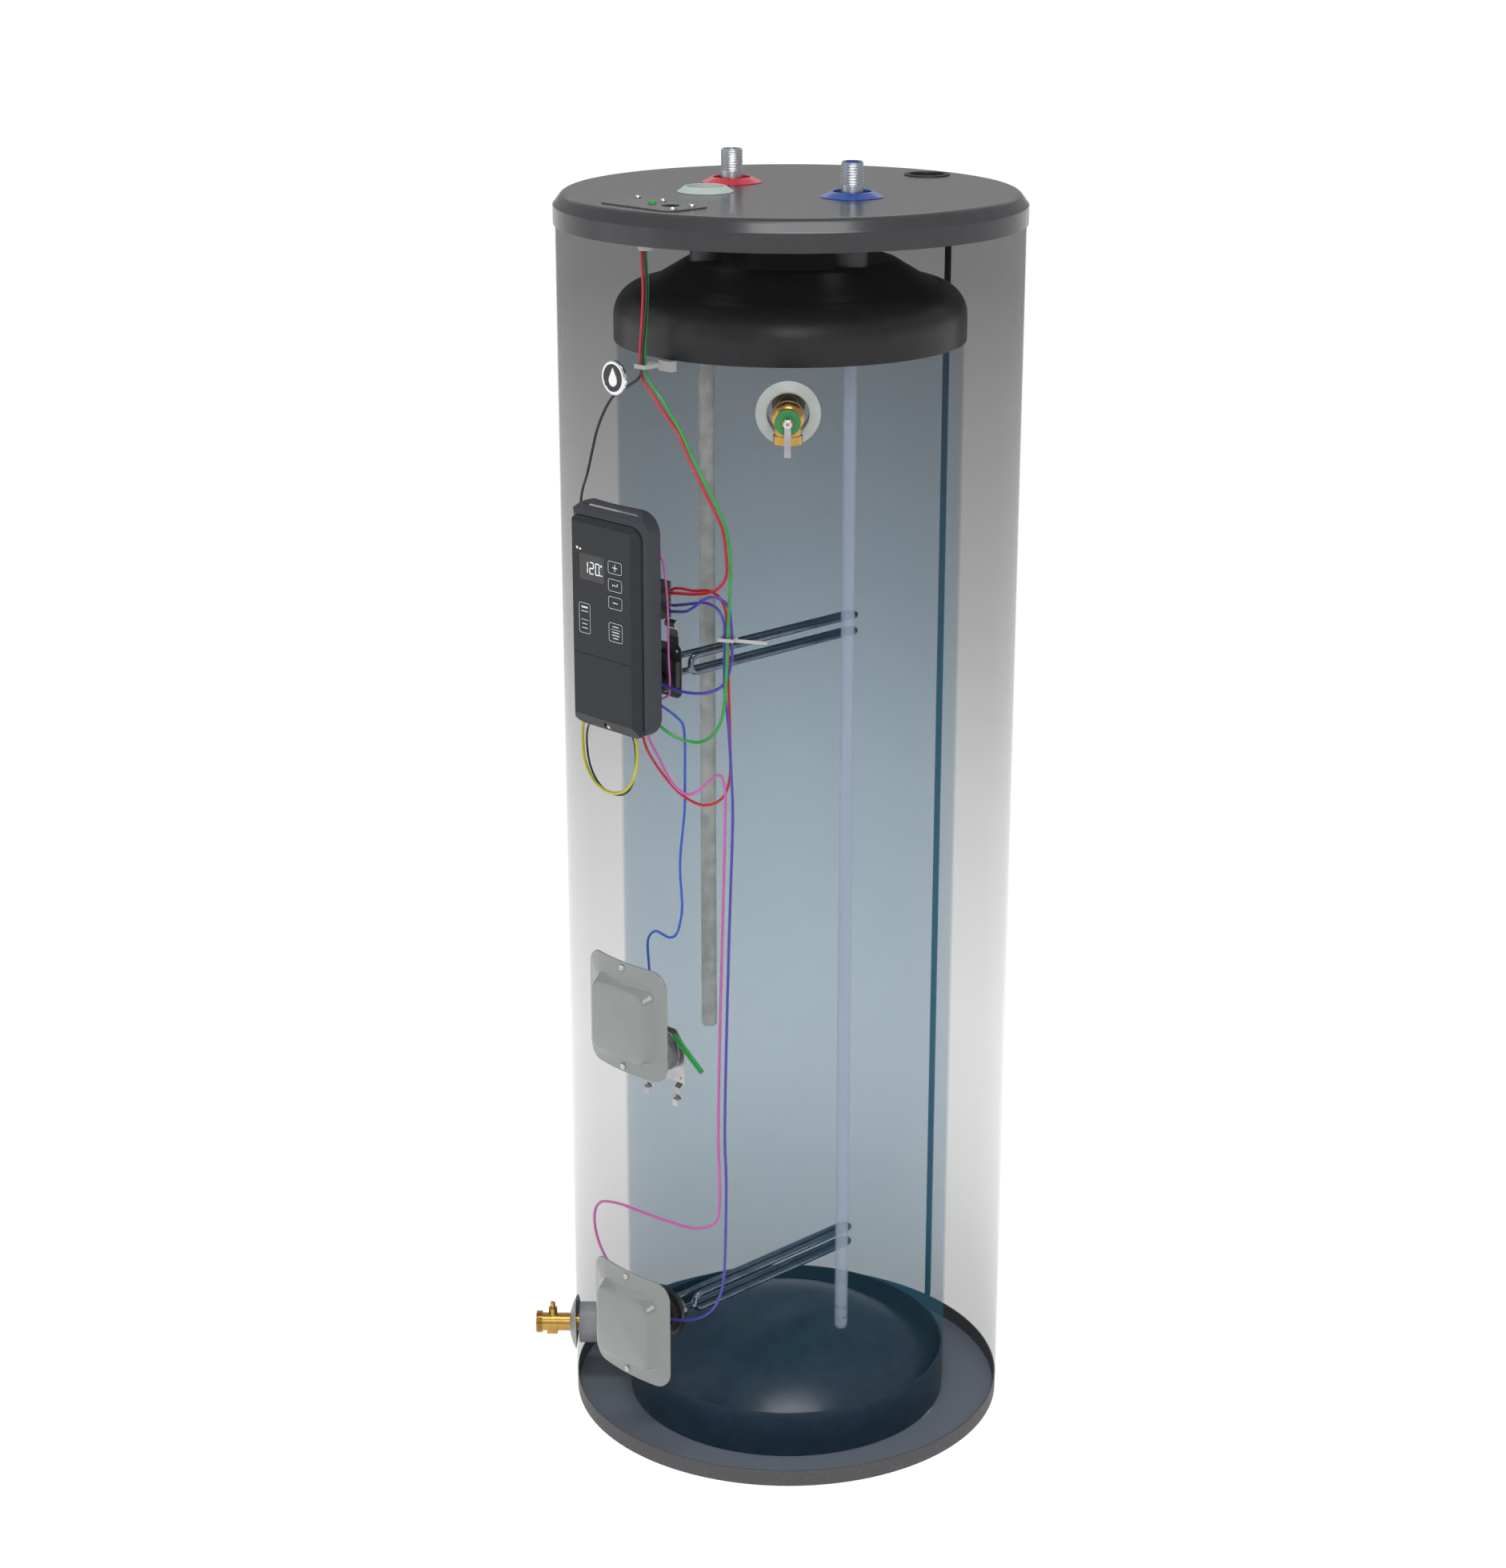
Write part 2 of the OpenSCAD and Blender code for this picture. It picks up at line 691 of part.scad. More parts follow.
// Solid of the front cover before it is hollowed, inset by t.
module cover_form(t) {
    h = cover_top - unit_z0 - 0.5;
    intersection() {
        translate([0, 0, unit_z0 - 5]) linear_extrude(unit_h + 20)
            polygon([[-cover_half + t, -tray_r], [-cover_half + t, -shoulder_r + t / 2],
                [-51 + t / 2, -face_r + t], [51 - t / 2, -face_r + t],
                [cover_half - t, -shoulder_r + t / 2], [cover_half - t, -tray_r]]);
        rotate([90, 0, 90]) translate([0, 0, -100]) linear_extrude(200)
            polygon([[-tray_r, unit_z0 + t], [-shoulder_r + 2, unit_z0 + t],
                [-face_r + t, 987 + t / 2], [-face_r + t, cover_top - 6 - t / 2],
                [-shoulder_r, cover_top - t], [-tray_r, cover_top - t]]);
        outward(0, unit_z0 + 0.5 + h / 2) linear_extrude(400)
            rounded(2 * cover_half - 2 * t, h - 2 * t, 14 - t);
    }
}

module control_cover() {
    groove_z = 1063;
    color([0.20, 0.21, 0.23])
    difference() {
        cover_form(0);
        intersection() {
            translate([0, 0.01, 0]) cover_form(3);
            translate([-60, -face_r + 3, unit_z0 + 20]) cube([120, 40, unit_h]);
        }
        for (k = key_list) outward(0, k[1]) translate([k[0], 0, 0])
            linear_extrude(400) rounded(k[2] + 2 * key_play, k[3] + 2 * key_play, key_corner + key_play);
        outward(0, screen[1]) translate([screen[0], 0, 0])
            linear_extrude(400) rounded(screen[2], screen[3], 2);
        outward(0, groove_z) translate([-50, -0.4, face_r - 0.5]) cube([100, 0.8, 2]);
        outward(0, chin_z) translate([0, 0, 297]) cylinder(r = 4.5, h = 40);
        outward(0, chin_z) translate([0, 0, 280]) cylinder(r = 2.2, h = 40);
    }
    color([0.20, 0.21, 0.23])
    for (x = [-48, 48]) for (z = [1010, 1205])
        outward(0, z) translate([x, 0, board_r + 1.6]) cylinder(r = 3, h = face_r - 2.9 - board_r - 1.6);
}

board_r = 295;
switch_top = 300.6;

module display_window() {
    color([0.08, 0.09, 0.10])
    outward(0, screen[1]) translate([screen[0], 0, face_r - 2.4])
        linear_extrude(2.2) rounded(screen[2] - 0.4, screen[3] - 0.4, 1.8);
}

// Circuit board with the display module and one tactile switch per key.
module control_board() {
    color([0.05, 0.30, 0.15])
    outward(0, 1105) translate([0, 0, board_r]) linear_extrude(1.6) rounded(108, 220, 4);
    color([0.1, 0.1, 0.1]) {
        outward(0, screen[1]) translate([screen[0] - 21, -14, board_r + 1.5])
            cube([42, 28, face_r - 2.6 - board_r - 1.5]);
        for (k = key_list) outward(0, k[1]) translate([k[0] - 3, -3, board_r + 1.5])
            cube([6, 6, switch_top - board_r - 1.5]);
    }
}

// Key cap with a short plunger that stands over its switch.
module key(i) {
    k = key_list[i];
    color([0.18, 0.19, 0.21])
    outward(0, k[1]) translate([k[0], 0, 0]) {
        translate([0, 0, face_r - 3]) linear_extrude(3.2) rounded(k[2], k[3], key_corner);
        translate([0, 0, switch_top + 0.8]) cylinder(r = 2, h = face_r - 2.9 - switch_top - 0.8);
    }
}

module key_plus() { key(0); }
module key_enter() { key(1); }
module key_minus() { key(2); }
module key_reset() { key(3); }
module key_mode() { key(4); }

// ---------------------------------------------------------------- access covers

// Raised middle of an access cover, inset by t.
module cover_bulge(t) {
    hull() {
        translate([0, 1, 272]) linear_extrude(0.5) rounded(116 - 2 * t, 112 - 2 * t, 16 - t, $fn = 32);
        translate([0, -6, 292.5 - t]) linear_extrude(0.5) rounded(90 - 2 * t, 84 - 2 * t, 9, $fn = 32);
    }
}

module access_covers() {
    wall = 2;
    color([0.56, 0.58, 0.57])
    for (z = [mid_z, low_z]) difference() {
        union() {
            intersection() {
                shell(jacket_r + gap + 2.2, jacket_r + gap, z - 100, z + 100);
                outward(0, z) linear_extrude(400) rounded(cover_w, cover_h, 22);
            }
            outward(0, z) cover_bulge(0);
        }
        outward(0, z) cover_bulge(wall);
        cylinder(r = jacket_r + gap, h = 2000);
        for (y = [-1, 1]) outward(0, z + y * cover_screw_dy) cylinder(r = 2.2, h = 400);
    }
}

module cover_screws() {
    seat = jacket_r + gap + 2.2;
    color([0.7, 0.7, 0.7]) {
        for (z = cover_screw_z) outward(0, z) translate([0, 0, seat]) pan_screw(4, 2.8, 1.9, 8);
        outward(0, chin_z) translate([0, 0, 297]) pan_screw(4, 2.8, 1.9, 9);
    }
}

// ---------------------------------------------------------------- leads

black_supply = [[1.5, 240, 1540], [1.8, 240, 1515], [2.4, 240, 1490], [1.6, 240, 1450],
    [0.8, 241, 1420], [0.8, 242, 1398], [0.4, 247, 1386], [-3, 249, 1376], [-9, 250, 1362],
    [-13, 252, 1345], [-16.5, 256, 1318], [-18, 260, 1292], [-21, 262, 1260],
    [-26, 262, 1233], [-27, 262, 1208], [-20, 262, 1190], [-13, 264, 1182], [-7, 270, 1180],
    [-4, 280, 1180]];
red_supply = [[-0.2, 238, 1540], [0, 238, 1515], [0.4, 238, 1490], [-0.2, 238, 1450],
    [-0.8, 239, 1420], [-0.6, 239.5, 1395], [1, 241, 1382], [5, 243, 1368], [10, 245, 1347],
    [14, 245, 1328], [17, 245, 1302], [20.5, 245, 1275], [24, 245, 1248], [27, 245, 1222],
    [28, 245, 1195], [28, 244, 1165], [24, 240, 1146], [17, 234, 1138], [11, 226, 1134],
    [5.6, 223.6, 1131]];
green_supply = [[1, 235.3, 1540], [1.1, 235.3, 1515], [1.5, 235.3, 1490], [0.8, 235.3, 1450],
    [0.2, 235.6, 1420], [0.6, 236.5, 1395], [3, 240, 1382], [8, 243, 1366], [12.5, 245, 1345],
    [16, 245, 1322], [19, 245, 1298], [22.5, 246, 1272], [26, 247, 1246], [28.6, 248, 1218],
    [29.6, 249, 1180], [29.4, 250.5, 1135], [28.8, 250.5, 1090], [28.6, 254, 1040],
    [27.6, 254, 1000], [24.4, 250, 974], [20, 250, 963], [14, 253, 966], [10, 258, 976],
    [8.2, 268, 992], [7.8, 285, 1018]];
red_return = [[3.6, 285, 1014], [3.4, 272, 992], [2.4, 258, 972], [1.4, 250, 955],
    [3, 248, 937], [8, 246, 913], [14, 245, 893], [21, 245, 884], [26.5, 242, 895],
    [28.6, 240.5, 920], [28.8, 240.5, 960], [28.4, 241, 1040], [28, 241, 1110],
    [26.2, 238, 1135], [22, 233, 1144], [16, 227.5, 1140], [10.5, 222, 1139],
    [7, 219, 1136], [6, 218.4, 1133]];
violet_lower = [[6, 219.5, 1115], [10, 225, 1119], [16, 234, 1126], [21, 240, 1131],
    [25, 243, 1127], [27.4, 245.5, 1113], [27.6, 245.5, 1090], [27.6, 245.5, 1030],
    [28.6, 245.5, 990], [29.4, 245.5, 930], [29.8, 245, 870], [28.8, 245, 740],
    [27.8, 245, 590], [27.2, 245, 460], [27.6, 245, 395], [27, 245, 280], [25.4, 245, 238],
    [21.6, 245, 212], [15, 245, 196], [7, 246, 188], [3.6, 247, 180]];
violet_upper = [[6, 224.4, 1109], [11, 231, 1113], [15, 237, 1117], [18.5, 242, 1126],
    [21.5, 245.5, 1136], [25, 247, 1141], [28.6, 246, 1132], [29.6, 246, 1108],
    [29.8, 246, 1085], [29.6, 246.5, 1062], [28, 249.7, 1040], [25, 249.7, 1029],
    [20.5, 249, 1023], [14, 248, 1022], [8, 248, 1026], [3.4, 249.5, 1030]];
blue_route = [[6.4, 285, 1030], [6.8, 270, 1018], [9, 254, 1002], [13, 246, 988],
    [15, 244, 972], [14.6, 241, 910], [14.4, 241, 870], [13.2, 244, 805], [14, 245, 755],
    [13.4, 245, 732], [12, 245, 714], [9.6, 245, 707], [6.6, 245, 709], [4.2, 245, 710],
    [1.6, 245, 700], [0.8, 244, 680], [0.5, 237, 620], [0.3, 231, 582], [0.1, 230.5, 564],
    [0, 225, 553]];
yellow_route = [[-8, 285, 1016], [-10, 272, 1000], [-16, 266, 980], [-25, 262, 958],
    [-30, 262, 935], [-28.6, 262, 895], [-19, 262, 877], [-9, 262, 876], [-2.2, 262, 890],
    [1.2, 262, 915], [2.2, 264, 950], [0.6, 271, 982], [-0.6, 274, 1000], [-1.4, 285, 1016]];
dark_route = [[-6.4, 285, 1016], [-8.2, 270, 1001], [-14, 262.5, 980], [-23, 258.4, 954],
    [-28.8, 258.4, 925], [-26, 258, 890], [-17, 258, 874], [-8, 258, 874], [-2.6, 258, 886],
    [0, 258, 912], [0.2, 259, 948], [-2, 267, 982], [-3.6, 273, 1000], [-4.2, 285, 1016]];
pink_lower = [[5.6, 285, 1004], [5.5, 271, 988], [4.8, 258, 972], [3.6, 249.5, 955],
    [5.8, 247, 938], [11.2, 248, 907], [16.5, 249.5, 896], [20.5, 249.5, 905], [24, 249.5, 920],
    [26.4, 248, 925], [27.6, 246.5, 910], [27.6, 245, 875], [26.8, 245, 745],
    [25.8, 245, 590], [25.2, 245, 460], [25.6, 245, 395], [25.2, 245, 352], [23, 245, 336],
    [18, 245, 327], [10, 246, 326], [-3, 252, 327], [-10, 258, 326], [-19, 264, 313],
    [-22, 268, 290], [-20, 268, 262], [-14, 266, 240], [-7, 256, 215], [-3.4, 247, 180]];
pink_upper = [[4, 281, 1190], [6, 262, 1192], [7.6, 246, 1184], [9.2, 245, 1154],
    [10, 245, 1110], [10, 245, 1066], [10.4, 245, 1020], [9, 246, 1010], [5, 248, 1006],
    [1, 252, 1008], [-2, 249.5, 1024]];
ground_stub = [[6, 219, 566], [9, 223, 560], [13, 227, 550], [17.5, 231, 536], [18.4, 232, 533]];

module wire_black() {
    color([0.06, 0.06, 0.06]) {
        lead(black_supply, wire_d - 0.4);
        lead(dark_route, thin_d);
    }
}

module wire_red() {
    color([0.78, 0.10, 0.12]) {
        lead(red_supply, wire_d);
        lead(red_return, wire_d - 0.4);
    }
}

module wire_green() {
    color([0.12, 0.60, 0.22]) {
        lead(green_supply, wire_d);
        lead(ground_stub, 7, 2);
    }
}

module wire_violet() {
    color([0.30, 0.25, 0.65]) {
        lead(violet_lower, wire_d - 0.2);
        lead(violet_upper, wire_d - 0.2);
    }
}

module wire_blue() {
    color([0.15, 0.32, 0.75]) lead(blue_route, 3.2);
}

module wire_yellow() {
    color([0.80, 0.78, 0.20]) lead(yellow_route, 4);
}

module wire_pink() {
    color([0.80, 0.40, 0.65]) {
        lead(pink_lower, wire_d - 0.2);
        lead(pink_upper, thin_d);
    }
}

// Two nylon ties: one holds the supply leads to the tank, one holds the side bundle.
module cable_ties() {
    color([0.88, 0.86, 0.88]) {
        outward(0.4, 1399) difference() {
            union() {
                translate([0, 0, 232]) cube([17.4, 5, 27], center = true);
                translate([16, 0, 216.5]) cube([22, 12, 9], center = true);
                translate([8, 0, 219]) cube([16, 5, 3], center = true);
            }
            translate([0, 0, 232.5]) cube([14.4, 8, 24], center = true);
        }
        outward(28.6, 1092) difference() {
            translate([0, 0, 245.5]) cube([19, 4, 18], center = true);
            translate([0, 0, 245.5]) cube([16.6, 8, 15.6], center = true);
        }
        outward(28.6, 1092) translate([9, -2, 250]) cube([40, 4, 1.2]);
    }
}

// ---------------------------------------------------------------- trim on the side

module relief_bezel() {
    color([0.62, 0.66, 0.65])
    difference() {
        outward(relief_az, relief_z)
            turned([[23.6, 262], [25.2, 262], [25.2, jacket_r - 3], [36.7, jacket_r - 3],
                [36.7, jacket_r + 0.9], [26, jacket_r + 6], [24.2, jacket_r + 6], [23.6, jacket_r + 5]]);
        difference() {
            cylinder(r = jacket_r + gap, h = 2000, $fn = 720);
            outward(relief_az, relief_z) cylinder(r = 25.4, h = 400);
        }
    }
}

module drain_escutcheon() {
    dome_r = 72;
    top = 290.5;
    color([0.50, 0.51, 0.53])
    difference() {
        outward(drain_az, drain_z) intersection() {
            translate([0, 0, top - dome_r]) sphere(r = dome_r);
            translate([0, 0, 270]) cylinder(r = 42, h = 60);
        }
        outward(drain_az, drain_z) translate([0, 0, top - dome_r]) sphere(r = dome_r - 2);
        outward(drain_az, drain_z) cylinder(r = 12.4, h = 400);
        cylinder(r = jacket_r + gap, h = 400);
    }
}

module drain_sleeve() {
    color([0.50, 0.52, 0.55, 0.8])
    difference() {
        outward(drain_az, drain_z) translate([0, 0, 205]) tube(sleeve_r, sleeve_r - 3, 71);
        cylinder(r = tank_r + gap, h = 400);
    }
}

// ---------------------------------------------------------------- relief valve

bonnet_out = 335;
pivot_r = 341;
stem_r = 2.4;
pin_r = 1.2;
outlet_bottom = -29;
outlet_l = 15;
seat_out = 292;

module relief_body() {
    color([0.72, 0.53, 0.22])
    outward(relief_az, relief_z) difference() {
        union() {
            translate([0, 0, 213]) cylinder(r = pipe_r, h = relief_r - 213);
            translate([0, 0, relief_r]) sphere(r = 19);
            translate([0, 0, relief_r]) cylinder(r = 13, h = bonnet_out - relief_r);
            translate([0, 0, relief_r]) rotate([90, 0, 0]) cylinder(r = 15, h = 22);
            translate([0, -19.5, relief_r]) rotate([90, 0, 0])
                cylinder(r = 16.6, h = -outlet_bottom - 19.5);
            for (x = [-5.4, 3.9]) translate([x, -3, bonnet_out - 1]) cube([1.5, 6, 9]);
        }
        translate([0, 0, 200]) cylinder(r = 9, h = seat_out - 199);
        translate([0, 0, seat_out]) cylinder(r = 11.5, h = 36);
        translate([0, 0, relief_r]) rotate([90, 0, 0]) cylinder(r = 9, h = 60);
        translate([0, outlet_bottom - 1, relief_r]) rotate([-90, 0, 0]) cylinder(r = 12, h = outlet_l + 1);
        translate([0, 0, 320]) cylinder(r = stem_r + fit, h = 60);
    }
}

module relief_tag() {
    color([0.15, 0.55, 0.25])
    outward(relief_az, relief_z) difference() {
        translate([0, 0, bonnet_out]) cylinder(r = 14.6, h = 1.2);
        translate([0, 0, bonnet_out - 1]) linear_extrude(5) square([12, 7], center = true);
    }
}

// Stem with its sealing disc and the thermal probe that reaches into the tank.
module relief_stem() {
    color([0.75, 0.62, 0.35])
    outward(relief_az, relief_z) difference() {
        union() {
            translate([0, 0, seat_out]) cylinder(r = stem_r, h = pivot_r + 3 - seat_out);
            translate([0, 0, seat_out + 0.2]) cylinder(r = 10.6, h = 3);
            translate([0, 0, 112]) cylinder(r = 4.4, h = seat_out + 0.3 - 112);
        }
        translate([-10, 0, pivot_r]) rotate([0, 90, 0]) cylinder(r = pin_r + fit, h = 20);
    }
}

// Test lever: a strip hanging in front of the tag, with two ears on the pivot.
module relief_lever() {
    strip_w = 7.4;
    color([0.62, 0.60, 0.64])
    outward(relief_az, relief_z) {
        translate([-strip_w / 2, -37, pivot_r + 4.4]) cube([strip_w, 42, 1.2]);
        for (x = [-strip_w / 2, strip_w / 2 - 0.8]) translate([x, -3, pivot_r - 3])
            cube([0.8, 8, 7.5]);
        translate([-strip_w / 2, 0, pivot_r]) rotate([0, 90, 0]) cylinder(r = pin_r, h = strip_w);
    }
}

// ---------------------------------------------------------------- drain valve

drain_bore = 6.5;
ball_r = 9.4;
stem_top = 28.5;
spindle_r = 3.2;

module drain_body() {
    color([0.78, 0.58, 0.22])
    outward(drain_az, drain_z) difference() {
        union() {
            translate([0, 0, 213]) cylinder(r = pipe_r, h = 50);
            translate([0, 0, 262]) cylinder(r = 18.4, h = 13, $fn = 6);
            translate([0, 0, 274]) cylinder(r = 12, h = 53);
            translate([0, 0, 326.5]) cylinder(r = 14.3, h = 8);
            translate([-12, -12, 306]) cube([24, 12, 14]);
            translate([0, 10, drain_ball_r]) rotate([-90, 0, 0]) cylinder(r = 5.7, h = 11);
        }
        translate([0, 0, 200]) cylinder(r = drain_bore, h = 200);
        translate([0, 0, drain_ball_r]) sphere(r = ball_r + fit);
        translate([0, 0, drain_ball_r]) rotate([-90, 0, 0]) cylinder(r = spindle_r + fit, h = 40);
    }
}

// Ball with a cross bore, and its slotted stem.
module drain_stem() {
    color([0.70, 0.50, 0.20])
    outward(drain_az, drain_z) translate([0, 0, drain_ball_r]) difference() {
        union() {
            sphere(r = ball_r);
            rotate([-90, 0, 0]) cylinder(r = spindle_r, h = stem_top);
        }
        rotate([0, 90, 0]) cylinder(r = drain_bore - 0.5, h = 40, center = true);
        translate([-0.7, stem_top - 4, -5]) cube([1.4, 10, 10]);
    }
}

jacket();
jacket_seam();
lid();
lid_grommet();
anode_port_ring();
hot_collar();
cold_collar();
junction_box();
junction_cover();
junction_screws();
strain_relief();
base_pan();
badge();
relief_bezel();
drain_escutcheon();
drain_sleeve();
tank_shell();
top_head();
bottom_head();
threaded_spuds();
element_spuds();
hot_nipple();
cold_nipple();
cold_liner();
dip_tube();
anode_rod();
heating_elements();
element_gaskets();
element_blocks();
element_brackets();
upper_clip();
limit_switch();
reset_button();
mid_bracket();
mid_sensor();
control_housing();
control_cover();
display_window();
control_board();
key_plus();
key_enter();
key_minus();
key_reset();
key_mode();
access_covers();
cover_screws();
wire_black();
wire_red();
wire_green();
wire_violet();
wire_blue();
wire_yellow();
wire_pink();
cable_ties();
relief_body();
relief_tag();
relief_stem();
relief_lever();
drain_body();
drain_stem();
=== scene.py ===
"""Dresses the tank water heater: finishes, pressed covers, threads, display marks and studio."""

import json
import logging
import math
from dataclasses import dataclass
from enum import Enum
from typing import Any, Callable, Optional, Sequence, Union

import bpy
from mathutils import Euler, Matrix, Vector

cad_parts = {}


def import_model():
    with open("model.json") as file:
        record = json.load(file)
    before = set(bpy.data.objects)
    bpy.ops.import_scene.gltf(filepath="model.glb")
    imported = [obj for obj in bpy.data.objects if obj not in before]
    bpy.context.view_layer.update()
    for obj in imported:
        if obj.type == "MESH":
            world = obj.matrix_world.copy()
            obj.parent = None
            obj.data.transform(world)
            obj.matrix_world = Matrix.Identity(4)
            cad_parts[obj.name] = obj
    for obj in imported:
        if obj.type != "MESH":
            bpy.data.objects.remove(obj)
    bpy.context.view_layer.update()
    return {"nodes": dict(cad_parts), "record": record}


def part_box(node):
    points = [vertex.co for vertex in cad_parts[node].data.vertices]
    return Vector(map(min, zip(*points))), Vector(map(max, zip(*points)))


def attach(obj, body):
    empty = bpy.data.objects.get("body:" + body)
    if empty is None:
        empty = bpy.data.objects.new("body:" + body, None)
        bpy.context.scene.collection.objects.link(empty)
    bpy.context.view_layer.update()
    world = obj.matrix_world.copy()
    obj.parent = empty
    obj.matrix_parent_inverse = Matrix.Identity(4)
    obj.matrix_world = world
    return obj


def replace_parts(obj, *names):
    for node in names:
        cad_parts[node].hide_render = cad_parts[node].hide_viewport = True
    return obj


log = logging.getLogger("water_heater")

MM = 0.001
ROOT = "heater"
Colour = tuple[float, float, float]
Point = tuple[float, float, float]


# ---------------------------------------------------------------- shader maths


@dataclass(frozen=True)
class Wire:
    """One output socket of a shader, usable in arithmetic."""

    shader: "Shader"
    socket: bpy.types.NodeSocket

    def _math(self, operation: str, first: "Input", second: "Input") -> "Wire":
        """Adds one Math node and returns its output."""
        return self.shader.node("ShaderNodeMath", {"operation": operation}, {0: first, 1: second})

    def __add__(self, other: "Input") -> "Wire":
        """Returns self + other."""
        return self._math("ADD", self, other)

    def __radd__(self, other: "Input") -> "Wire":
        """Returns other + self."""
        return self._math("ADD", other, self)

    def __sub__(self, other: "Input") -> "Wire":
        """Returns self - other."""
        return self._math("SUBTRACT", self, other)

    def __rsub__(self, other: "Input") -> "Wire":
        """Returns other - self."""
        return self._math("SUBTRACT", other, self)

    def __mul__(self, other: "Input") -> "Wire":
        """Returns self * other."""
        return self._math("MULTIPLY", self, other)

    def __rmul__(self, other: "Input") -> "Wire":
        """Returns other * self."""
        return self._math("MULTIPLY", other, self)

    def __truediv__(self, other: "Input") -> "Wire":
        """Returns self / other."""
        return self._math("DIVIDE", self, other)

    def __pow__(self, other: "Input") -> "Wire":
        """Returns self raised to other."""
        return self._math("POWER", self, other)

    def above(self, limit: "Input") -> "Wire":
        """Returns 1 where self is greater than the limit, and 0 elsewhere."""
        return self._math("GREATER_THAN", self, limit)


Input = Union[Wire, float, Colour, tuple]


class Shader:
    """Builds the node tree of one material."""

    def __init__(self, name: str) -> None:
        """Makes an empty material.

        Args:
            name: The material's name.
        """
        self.material = bpy.data.materials.new(name)
        self.material.use_nodes = True
        self.tree = self.material.node_tree
        self.tree.nodes.clear()

    def node(self, kind: str, settings: Optional[dict[str, Any]] = None,
             inputs: Optional[dict[Any, Input]] = None, out: Union[int, str] = 0) -> Wire:
        """Adds a node, sets it and links it.

        Args:
            kind: The node's Blender type.
            settings: Attributes of the node; "stops" are a colour ramp's stops.
            inputs: Values or links, by socket name or number.
            out: The output socket to return.

        Returns:
            The chosen output.
        """
        made = self.tree.nodes.new(kind)
        for name, value in (settings or {}).items():
            if name == "stops":
                self._set_stops(made.color_ramp, value)
            else:
                setattr(made, name, value)
        for key, value in (inputs or {}).items():
            if isinstance(value, Wire):
                self.tree.links.new(value.socket, made.inputs[key])
            else:
                made.inputs[key].default_value = value
        return Wire(self, made.outputs[out])

    @staticmethod
    def _set_stops(ramp: bpy.types.ColorRamp, stops: Sequence[tuple[float, float]]) -> None:
        """Gives a ramp grey stops, each a position and a brightness."""
        for element, (position, grey) in zip(ramp.elements, (stops[0], stops[-1])):
            element.position = position
            element.color = (grey, grey, grey, 1.0)
        for position, grey in stops[1:-1]:
            ramp.elements.new(position).color = (grey, grey, grey, 1.0)

    def place(self) -> Wire:
        """Returns the point on the surface, in metres in the object's own frame."""
        return self.node("ShaderNodeTexCoord", out="Object")

    def axis(self, letter: str) -> Wire:
        """Returns one coordinate of the point on the surface."""
        return self.node("ShaderNodeSeparateXYZ", inputs={0: self.place()}, out=letter)

    def ramp(self, value: Wire, stops: Sequence[tuple[float, float]]) -> Wire:
        """Returns a value looked up on a grey ramp."""
        return self.node("ShaderNodeValToRGB", {"stops": stops}, {0: value})

    def span(self, value: Wire, low: float, high: float, to_low: float = 0.0,
             to_high: float = 1.0) -> Wire:
        """Maps low..high onto to_low..to_high with a smooth step."""
        return self.node("ShaderNodeMapRange", {"interpolation_type": "SMOOTHSTEP"},
                         {0: value, 1: low, 2: high, 3: to_low, 4: to_high})

    def noise(self, size: float, detail: float = 2.0, stretch: Point = (1.0, 1.0, 1.0)) -> Wire:
        """Returns soft noise whose lumps are about size metres across."""
        where = self.node("ShaderNodeMapping", inputs={0: self.place(), 3: stretch})
        return self.node("ShaderNodeTexNoise", inputs={0: where, "Scale": 1.0 / size,
                                                       "Detail": detail})

    def grains(self, size: float) -> Wire:
        """Returns the distance to the nearest of many scattered points."""
        return self.node("ShaderNodeTexVoronoi", inputs={0: self.place(), "Scale": 1.0 / size})

    def mix(self, share: Input, first: Input, second: Input) -> Wire:
        """Mixes two colours."""
        return self.node("ShaderNodeMix", {"data_type": "RGBA"},
                         {0: share, 6: opaque(first), 7: opaque(second)}, out=2)

    def bump(self, height: Wire, depth: float, edge: float = 0.0) -> Wire:
        """Returns a normal with small relief.

        Args:
            height: Relief from 0 to 1.
            depth: Height in metres of the full relief.
            edge: Radius in metres to which sharp edges look rounded.

        Returns:
            The bumped normal.
        """
        inputs: dict[Any, Input] = {"Height": height, "Distance": depth, "Strength": 1.0}
        if edge > 0.0:
            inputs["Normal"] = self.node("ShaderNodeBevel", {"samples": 4}, {"Radius": edge})
        return self.node("ShaderNodeBump", inputs=inputs)

    def finish(self, inputs: dict[str, Input]) -> bpy.types.Material:
        """Closes the tree with a Principled surface.

        Args:
            inputs: Values or links of the surface's sockets.

        Returns:
            The finished material.
        """
        dressed = {key: opaque(value) if "Color" in key else value for key, value in inputs.items()}
        surface = self.node("ShaderNodeBsdfPrincipled", inputs=dressed)
        self.node_output(surface)
        return self.material

    def node_output(self, surface: Wire) -> None:
        """Links a surface to the material's output."""
        made = self.tree.nodes.new("ShaderNodeOutputMaterial")
        self.tree.links.new(surface.socket, made.inputs["Surface"])


def opaque(value: Input) -> Input:
    """Gives a plain colour its fourth number and leaves anything else alone."""
    if isinstance(value, tuple) and len(value) == 3:
        return (*value, 1.0)
    return value


# ---------------------------------------------------------------- finishes


class Grain(Enum):
    """How the fine relief of a finish runs."""

    EVEN = (1.0, 1.0, 1.0)
    UPRIGHT = (1.0, 1.0, 0.04)
    LEVEL = (0.05, 0.05, 1.0)


